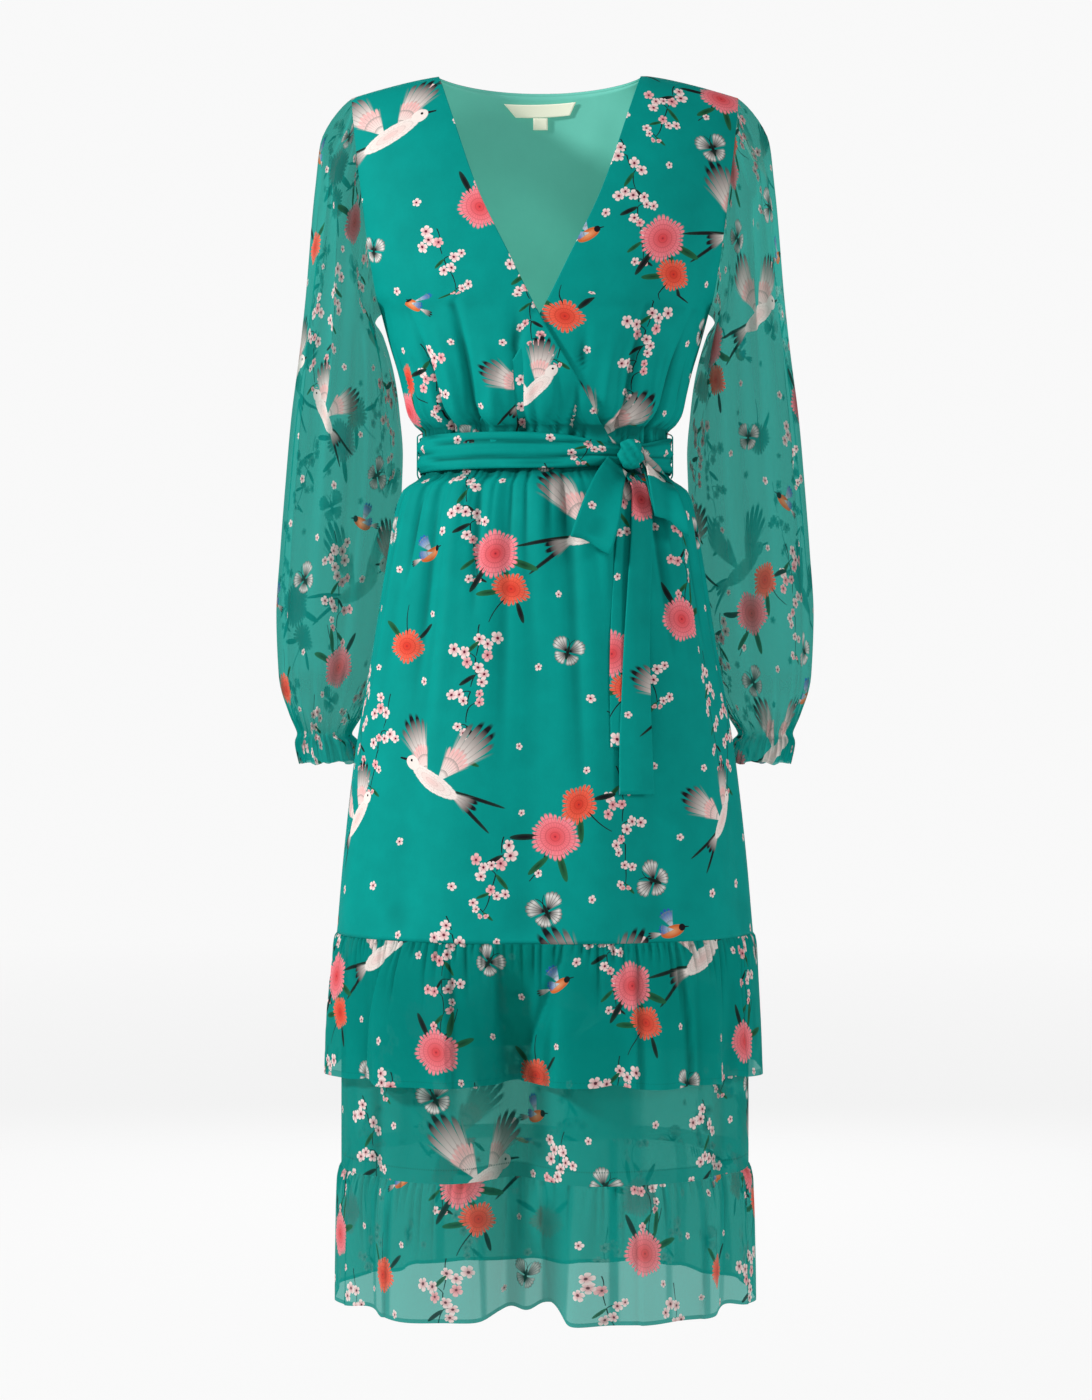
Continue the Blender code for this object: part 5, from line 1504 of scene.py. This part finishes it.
def shade(nodes, colour, alpha=None, roughness=0.72, bump=0.35, sheen=0.0, painted_glow=BLACK, inked=0.0):
    """Finish a material, with painted shade in its troughs, and pebbled by its yarn. Where it is sheer,
    alpha is its opaque share, what shows through it is tinted, and ink blocks most of the light from
    behind. Its glow is painted light, an emission that stands in for light that has passed through
    cloth."""
    _, depth, _ = nodes.attribute("trough")
    settings = {"data_type": "RGBA", "blend_type": "MULTIPLY"}
    # painted shade: the colour is multiplied towards a dark shade by the fold depth
    dark = {0: nodes.split(depth)[0] * PAINTED_SHADE_STRENGTH, 6: colour, 7: PAINTED_FOLD_SHADE}
    sockets = {
        "Base Color": nodes.out(nodes.add("ShaderNodeMix", settings, dark), 2),
        "Roughness": roughness,
        "Specular IOR Level": 0.04,
        "Sheen Weight": sheen,
        "Sheen Roughness": 0.4,
        # painted light: an emission that brightens the cloth, though it is no lamp
        "Emission Color": painted_glow,
        "Emission Strength": 1.0,
        "Normal": cloth_bump(nodes, bump),
    }
    shader = nodes.out(nodes.add("ShaderNodeBsdfPrincipled", (), sockets))
    if alpha is not None:
        lit = nodes.out(nodes.add("ShaderNodeBsdfTranslucent", (), {"Color": GLOW_GREEN}))
        shader = nodes.mix_shaders(LIT_SHARE - inked * INK_BLOCKS, shader, lit)
        seen_through = nodes.out(nodes.add("ShaderNodeBsdfTransparent", (), {"Color": SHEER_TINT}))
        shader = nodes.mix_shaders(alpha, seen_through, shader)
    nodes.add("ShaderNodeOutputMaterial", (), {"Surface": shader})
    return nodes.material


def printed(nodes, ground):
    """The print over a ground colour, and how much of it is ink."""
    colour, cover = ground, 0.0
    for layer in range(STROKE_LAYERS - 1, -1, -1):
        colour, cover = stroke_ink(nodes, layer, colour, cover)
    for layer in range(SPOT_LAYERS - 1, -1, -1):
        colour, cover = spot_ink(nodes, layer, colour, cover)
    return colour, cover


def printed_crepe():
    """Lined cloth of the bodice, upper skirt and belt."""
    nodes = Nodes("printed_crepe")
    colour, _ = printed(nodes, mottled(nodes, GREEN))
    return shade(nodes, colour)


def printed_chiffon(name, sheer, painted_glow=BLACK):
    """Sheer cloth of the sleeves, lower skirt and flounces, opaque by a share: denser where it is inked,
    and where it is doubled at hems and seams, with a row of stitches at the top of each hem."""
    nodes = Nodes(name)
    colour, cover = printed(nodes, mottled(nodes, GREEN))
    _, edge, _ = nodes.attribute("edge")
    hem, side, folded = nodes.split(edge)
    doubled = nodes.maths("MAXIMUM", nodes.maths("MAXIMUM", hem < 1.0, side < 1.0), folded)
    alpha = sheer + doubled * (1 - sheer) * sheer + cover * (1 - sheer) * INK_COVER
    across, _, _ = nodes.split(nodes.out(nodes.add("ShaderNodeUVMap", {"uv_map": "cut"})))
    stitch = (nodes.maths("FRACT", across * STITCHES) < 0.62) * (abs(hem - STITCH_LINE) < 0.055)
    colour = nodes.mix(stitch * 0.6, colour, STITCH_GREEN)
    # painted light: the glow of the sheer cloth, kept off the ink
    painted_glow = nodes.mix(cover, painted_glow, BLACK)
    return shade(nodes, colour, nodes.clamp(alpha), bump=0.18, painted_glow=painted_glow, inked=cover)


def lining_cloth():
    """Plain smooth lining."""
    nodes = Nodes("plain_lining")
    colour = mottled(nodes, LINING_GREEN, depth=0.06)
    # painted light: the lining glows by an emission, though it is no lamp
    return shade(nodes, colour, roughness=0.55, bump=0.12, sheen=0.05, painted_glow=LINING_PAINTED_GLOW)


def label_cloth():
    """Woven label: raised threads across a cream ground."""
    nodes = Nodes("woven_label")
    place = nodes.split(nodes.out(nodes.add("ShaderNodeUVMap", {"uv_map": "cut"})))
    threads = abs(nodes.maths("SINE", place[1] * 9000.0)) * abs(nodes.maths("SINE", place[0] * 5000.0))
    colour = nodes.mix(threads, *LABEL_THREADS)
    # painted light: the label glows by an emission, though it is no lamp
    return shade(nodes, colour, bump=0.15, sheen=0.05, painted_glow=LABEL_PAINTED_GLOW)


# Looks: the materials of the outer and the inner side, and a name for their slot, which nothing uses.
CREPE = ((printed_crepe(), lining_cloth()), "dress_cloth")
BELT_CREPE = (CREPE[0][:1], "dress_cloth")
SLEEVE_CHIFFON = ((printed_chiffon("sleeve_chiffon", 0.61, SLEEVE_PAINTED_GLOW),), "sheer_cloth")
FULL_CHIFFON = ((printed_chiffon("gathered_chiffon", 0.70, FLOUNCE_PAINTED_GLOW),), "sheer_cloth")
THIN_CHIFFON = ((printed_chiffon("thin_chiffon", 0.60),), "sheer_cloth")
HEM_CHIFFON = ((printed_chiffon("hem_chiffon", 0.70),), "sheer_cloth")
LINING = (CREPE[0][1:], "lining")
WOVEN = ((label_cloth(),), "label")


# ---------------------------------------------------------------- the pieces
def bodice_rows():
    """Rows of the bodice, about 4 mm apart: 0 waist, 1 underarm, 2 shoulder."""
    return np.concatenate((np.linspace(0, 1, 36)[:-1], np.linspace(1, 2, 50)))


def make_bodice():
    """The two fronts, the back and the back's lining."""
    down = bodice_rows()[::-1]
    for name, node, surface, columns, facing, cut in (
        ("right_front", "bodice_front_right", over_front, 200, -1, (0.36, 0.438)),
        ("left_front", "bodice_front_left", under_front, 150, -1, (-0.005, 0.09)),
        ("back", "bodice_back", back, 260, 1, (0.33, 0.20)),
    ):
        points = on_grid(surface, np.linspace(0, 1, columns), down)
        piece_of_cloth(name, node, points, CREPE, facing=facing, skin=SKIN, cut=cut, unrolled=flat_cut)
    points = on_grid(lining, np.linspace(0.02, 0.98, 90), np.linspace(1.985, 0.02, 70))
    piece_of_cloth("back_lining_cloth", "back_lining", points, LINING, skin=SKIN)


def make_sleeves():
    """Both sleeves, each cut in one with its frill, the left one a mirror of the right."""
    heights = SLEEVE["outer_z"]
    drops = np.concatenate((np.linspace(heights[0], -0.600, 120), np.linspace(-0.602, heights[-1], 34)))
    rings = np.interp(-drops, -heights, np.arange(len(heights)))
    right = sewn_shut(on_grid(sleeve, np.linspace(0, PLACES, 145), rings))
    close = 0.9 * smooth((rings - 12.3) / 1.4)[:, None]
    for side, points, facing, cut in (
        ("right", right, -1, (0.05, 0.42)),
        ("left", right * (-1, 1, 1), 1, (0.31, 0.16)),
    ):
        piece_of_cloth(
            f"sleeve_{side}_cloth", f"sleeve_{side}", points, SLEEVE_CHIFFON, True, facing,
            cut=cut, hem=FRILL_HEM, unrolled=flat_tube, folded=close,
        )


def in_bands(turn, bands, soft):
    """Sum of a table's bands round the body, each with a share of its own and soft edges."""
    total = 0.0 * turn
    for middle, half, share in zip(*bands.values()):
        total = total + share * smooth((half - np.abs(turn - middle)) / soft + 0.5)
    return total


# Tiers of the skirt: surface, look, skin; columns, first and last row, rows; depths of the hem and of
# the side seams; place of the front's cut; flat coordinates; how far the cloth lies folded, by turn.
TIERS = {
    "skirt": (
        (skirt, CREPE, SKIN), (300, WAIST_Z, UPPER_SEAM_Z, 112), (0, 0), (0.16, 0.00), flat_ring,
        lambda turn: 0.0,
    ),
    "upper_flounce": (
        (upper_flounce, FULL_CHIFFON, 0), (340, 0, 1, 42), (HEM, SEAM), (0.02, 0.37), flat_strip,
        lambda turn: 1 - in_bands(turn, UPPER_WINDOWS, 1.6),
    ),
    "lower_skirt": (
        (lower_skirt, THIN_CHIFFON, 0), (140, UPPER_SEAM_Z, LOWER_SEAM_Z, 56), (DEEP_SEAM, SEAM),
        (0.3, 0.14), flat_ring, lambda turn: 1 - in_bands(turn, LOWER_WINDOWS, 2.5),
    ),
    "lower_flounce": (
        (lower_flounce, HEM_CHIFFON, 0), (320, 0, 1, 42), (NARROW_HEM, SEAM), (0.20, 0.33), flat_strip,
        lambda turn: in_bands(turn, HEM_FOLDS, 0.9),
    ),
}
BACK_CUT = 0.21  # how far beside the front's cut the back's lies on the print


def make_skirts():
    """Upper skirt, lower skirt and the two flounces, each a front and a back."""
    for name, (form, (columns, top, end, rows), edges, cut, unrolled, folded) in TIERS.items():
        surface, look, skin = form
        for panel, first, shift in (("front", 0, 0.0), ("back", 180, BACK_CUT)):
            across = np.linspace(first, first + 180, columns)
            points = on_grid(surface, across, np.linspace(top, end, rows))
            node, place = f"{name}_{panel}", (cut[0] + shift, cut[1])
            piece_of_cloth(
                f"{node}_cloth", node, points, look, False, -1, skin, place, *edges, unrolled,
                folded(across),
            )


def sewn_shut(points):
    """A closed grid's points, with the last column laid on the first one."""
    points[:, -1] = points[:, 0]
    return points


def belt_piece(name, node, points, cut, closed=False, skin=BELT_SKIN):
    """A grid of points as a piece of the belt."""
    return piece_of_cloth(name, node, points, BELT_CREPE, closed, -1, skin, cut)


def make_belt():
    """Band, knot, both loops of the bow, both hanging ends and the two carriers."""
    points = sewn_shut(on_grid(sash_surface, np.linspace(0, 360, 260), np.linspace(0, 1, 15)))
    belt_piece("belt_band", "sash_band", points, (0.24, 0.02), closed=True)
    rises = np.linspace(math.pi / 2, -math.pi / 2, 29)
    points = sewn_shut(on_grid(knot, np.linspace(0, 2 * math.pi, 49), rises))
    close_poles(belt_piece("belt_knot", "sash_knot", points, (0.05, 0.20), closed=True, skin=0).data)
    across = np.linspace(-1, 1, 17)
    for side, path, cut in (("right", LOOP_RIGHT, (0.02, 0.12)), ("left", LOOP_LEFT, (0.24, 0.40))):
        points = on_grid(ribbon(path, LOOP_FOLDS), across, np.linspace(0, len(path["x"]) - 1, 60))
        belt_piece(f"bow_loop_{side}", f"sash_loop_{side}", points, cut)
    for side, path, cut in (("front", TAIL_FRONT, (0.30, 0.30)), ("back", TAIL_BACK, (0.12, 0.04))):
        heights = np.linspace(path["z"][-1], path["z"][0], 70)
        points = on_grid(hanging_end(path, END_FOLDS), across, heights)
        belt_piece(f"belt_end_{side}", f"sash_tail_{side}", points, cut)
    for side, middle in CARRIER_TURNS.items():
        turns = np.linspace(middle - CARRIER_HALF_TURN, middle + CARRIER_HALF_TURN, 5)
        points = on_grid(carrier_surface, turns, np.linspace(0, 1, 30))
        belt_piece(f"belt_carrier_{side}_cloth", f"belt_carrier_{side}", points, (0.30, 0.25))


def close_poles(mesh):
    """Merge the first and last rows of a closed grid, whose points lie together, into its two poles."""
    edit = bmesh.new()
    edit.from_mesh(mesh)
    bmesh.ops.remove_doubles(edit, verts=edit.verts, dist=1e-6)
    edit.to_mesh(mesh)
    edit.free()


def make_label():
    """Bare woven label, shorter along its bottom edge than its top one and a little askew, and its size
    tab, on the back lining."""
    depth = LINING_DEPTH + LINING_LOOSE + LABEL_STAND
    surface = offset(label_surface, lambda across, _: np.full_like(across, -depth))

    def label(share, down):
        left, right = (top + (bottom - top) * down for top, bottom in LABEL_ENDS)
        across = left + (right - left) * share
        return surface(across, LABEL_DROP + LABEL_HALF * (2 * down - 1) - LABEL_TILT * across)

    points = on_grid(label, np.linspace(0, 1, 46), np.linspace(0, 1, 12))
    piece_of_cloth("woven_label", "neck_label", points, WOVEN, skin=LABEL_SKIN)
    points = on_grid(surface, np.linspace(*TAB_ACROSS, 9), np.linspace(*TAB_DROPS, 10))
    piece_of_cloth("label_tab", "size_tab", points, WOVEN, skin=LABEL_SKIN)


make_bodice()
make_sleeves()
make_skirts()
make_belt()
make_label()


# ---------------------------------------------------------------- stage, lights and camera
FLOOR_Z = -1.50
FLOOR_RADIUS = 9.0
PAPER = (0.120, 0.120, 0.120)
PAPER_GLOW = 0.830
ROOM_LIGHT = 0.16
ROOM_WHITE = 0.945
CAMERA_PLACE = (0.001, -2.9, -0.610)
CAMERA_LENS = 76.1

# Square lamps: place, the point that each looks at, side, power.
LAMPS = {
    "window_left": ((-2.8, -1.4, 1.1), (0, 0, -0.5), 0.45, 118),
    "window_right": ((2.9, -1.2, 0.1), (0, 0, -0.6), 0.9, 34),
    "front_fill": ((0.5, -3.6, 0.2), (0, 0, -0.6), 1.6, 15),
    "back_light": ((0.0, 2.9, 0.4), (0, 0, -0.7), 2.5, 62),
}


def looking(name, data, place, turn):
    """A lamp or camera at a place, turned."""
    holder = in_scene(name, data)
    holder.location, holder.rotation_euler = place, turn
    return holder


def make_floor():
    """Pale round floor that fades into the background towards its rim."""
    nodes = Nodes("pale_paper")
    x, y, _ = nodes.split(nodes.out(nodes.add("ShaderNodeTexCoord"), "Object"))
    away = (x * x + y * y) ** 0.5
    near = nodes.clamp((FLOOR_RADIUS * 0.9 - away) / (FLOOR_RADIUS * 0.75))
    sockets = {
        "Base Color": (*PAPER, 1),
        "Roughness": 0.9,
        "Alpha": near,
        "Specular IOR Level": 0.0,
        "Emission Color": (1, 1, 1, 1),
        "Emission Strength": PAPER_GLOW,
    }
    shader = nodes.add("ShaderNodeBsdfPrincipled", (), sockets)
    nodes.add("ShaderNodeOutputMaterial", (), {"Surface": nodes.out(shader)})
    turn = np.linspace(0, 2 * math.pi, 97)[:-1]
    x, y = FLOOR_RADIUS * np.cos(turn), FLOOR_RADIUS * np.sin(turn)
    rim = np.stack((x, y, 0 * turn + FLOOR_Z), axis=-1)
    mesh = bpy.data.meshes.new("floor")
    mesh.from_pydata(rim, [], [list(range(len(rim)))])
    mesh.materials.append(nodes.material)
    floor = in_scene("floor", mesh)


def make_light(name, place, aim, size, power):
    """A soft square lamp that looks at a point."""
    lamp = bpy.data.lights.new(name, "AREA")
    lamp.size, lamp.energy = size, power
    looking(name, lamp, place, (Vector(aim) - Vector(place)).to_track_quat("-Z", "Y").to_euler())


def make_camera():
    """Camera level with the middle of the dress, which it frames with a small margin."""
    camera = bpy.data.cameras.new("camera")
    camera.lens = CAMERA_LENS
    bpy.context.scene.camera = looking("camera", camera, CAMERA_PLACE, (math.radians(90), 0, 0))


def make_room():
    """White room: its walls are as bright as paper to look at, and light the dress less than that."""
    world = bpy.data.worlds.new("white_room")
    world.use_nodes = True
    background = world.node_tree.nodes["Background"]
    seen = world.node_tree.nodes.new("ShaderNodeLightPath")
    bright = world.node_tree.nodes.new("ShaderNodeMapRange")
    bright.inputs["To Min"].default_value = ROOM_LIGHT
    bright.inputs["To Max"].default_value = ROOM_WHITE
    world.node_tree.links.new(seen.outputs["Is Camera Ray"], bright.inputs["Value"])
    world.node_tree.links.new(bright.outputs["Result"], background.inputs["Strength"])
    background.inputs["Color"].default_value = (1.0, 1.0, 1.0, 1)
    bpy.context.scene.world = world


make_room()
bpy.context.scene.view_settings.view_transform = "Standard"
make_floor()
for name, lamp in LAMPS.items():
    make_light(name, *lamp)
make_camera()
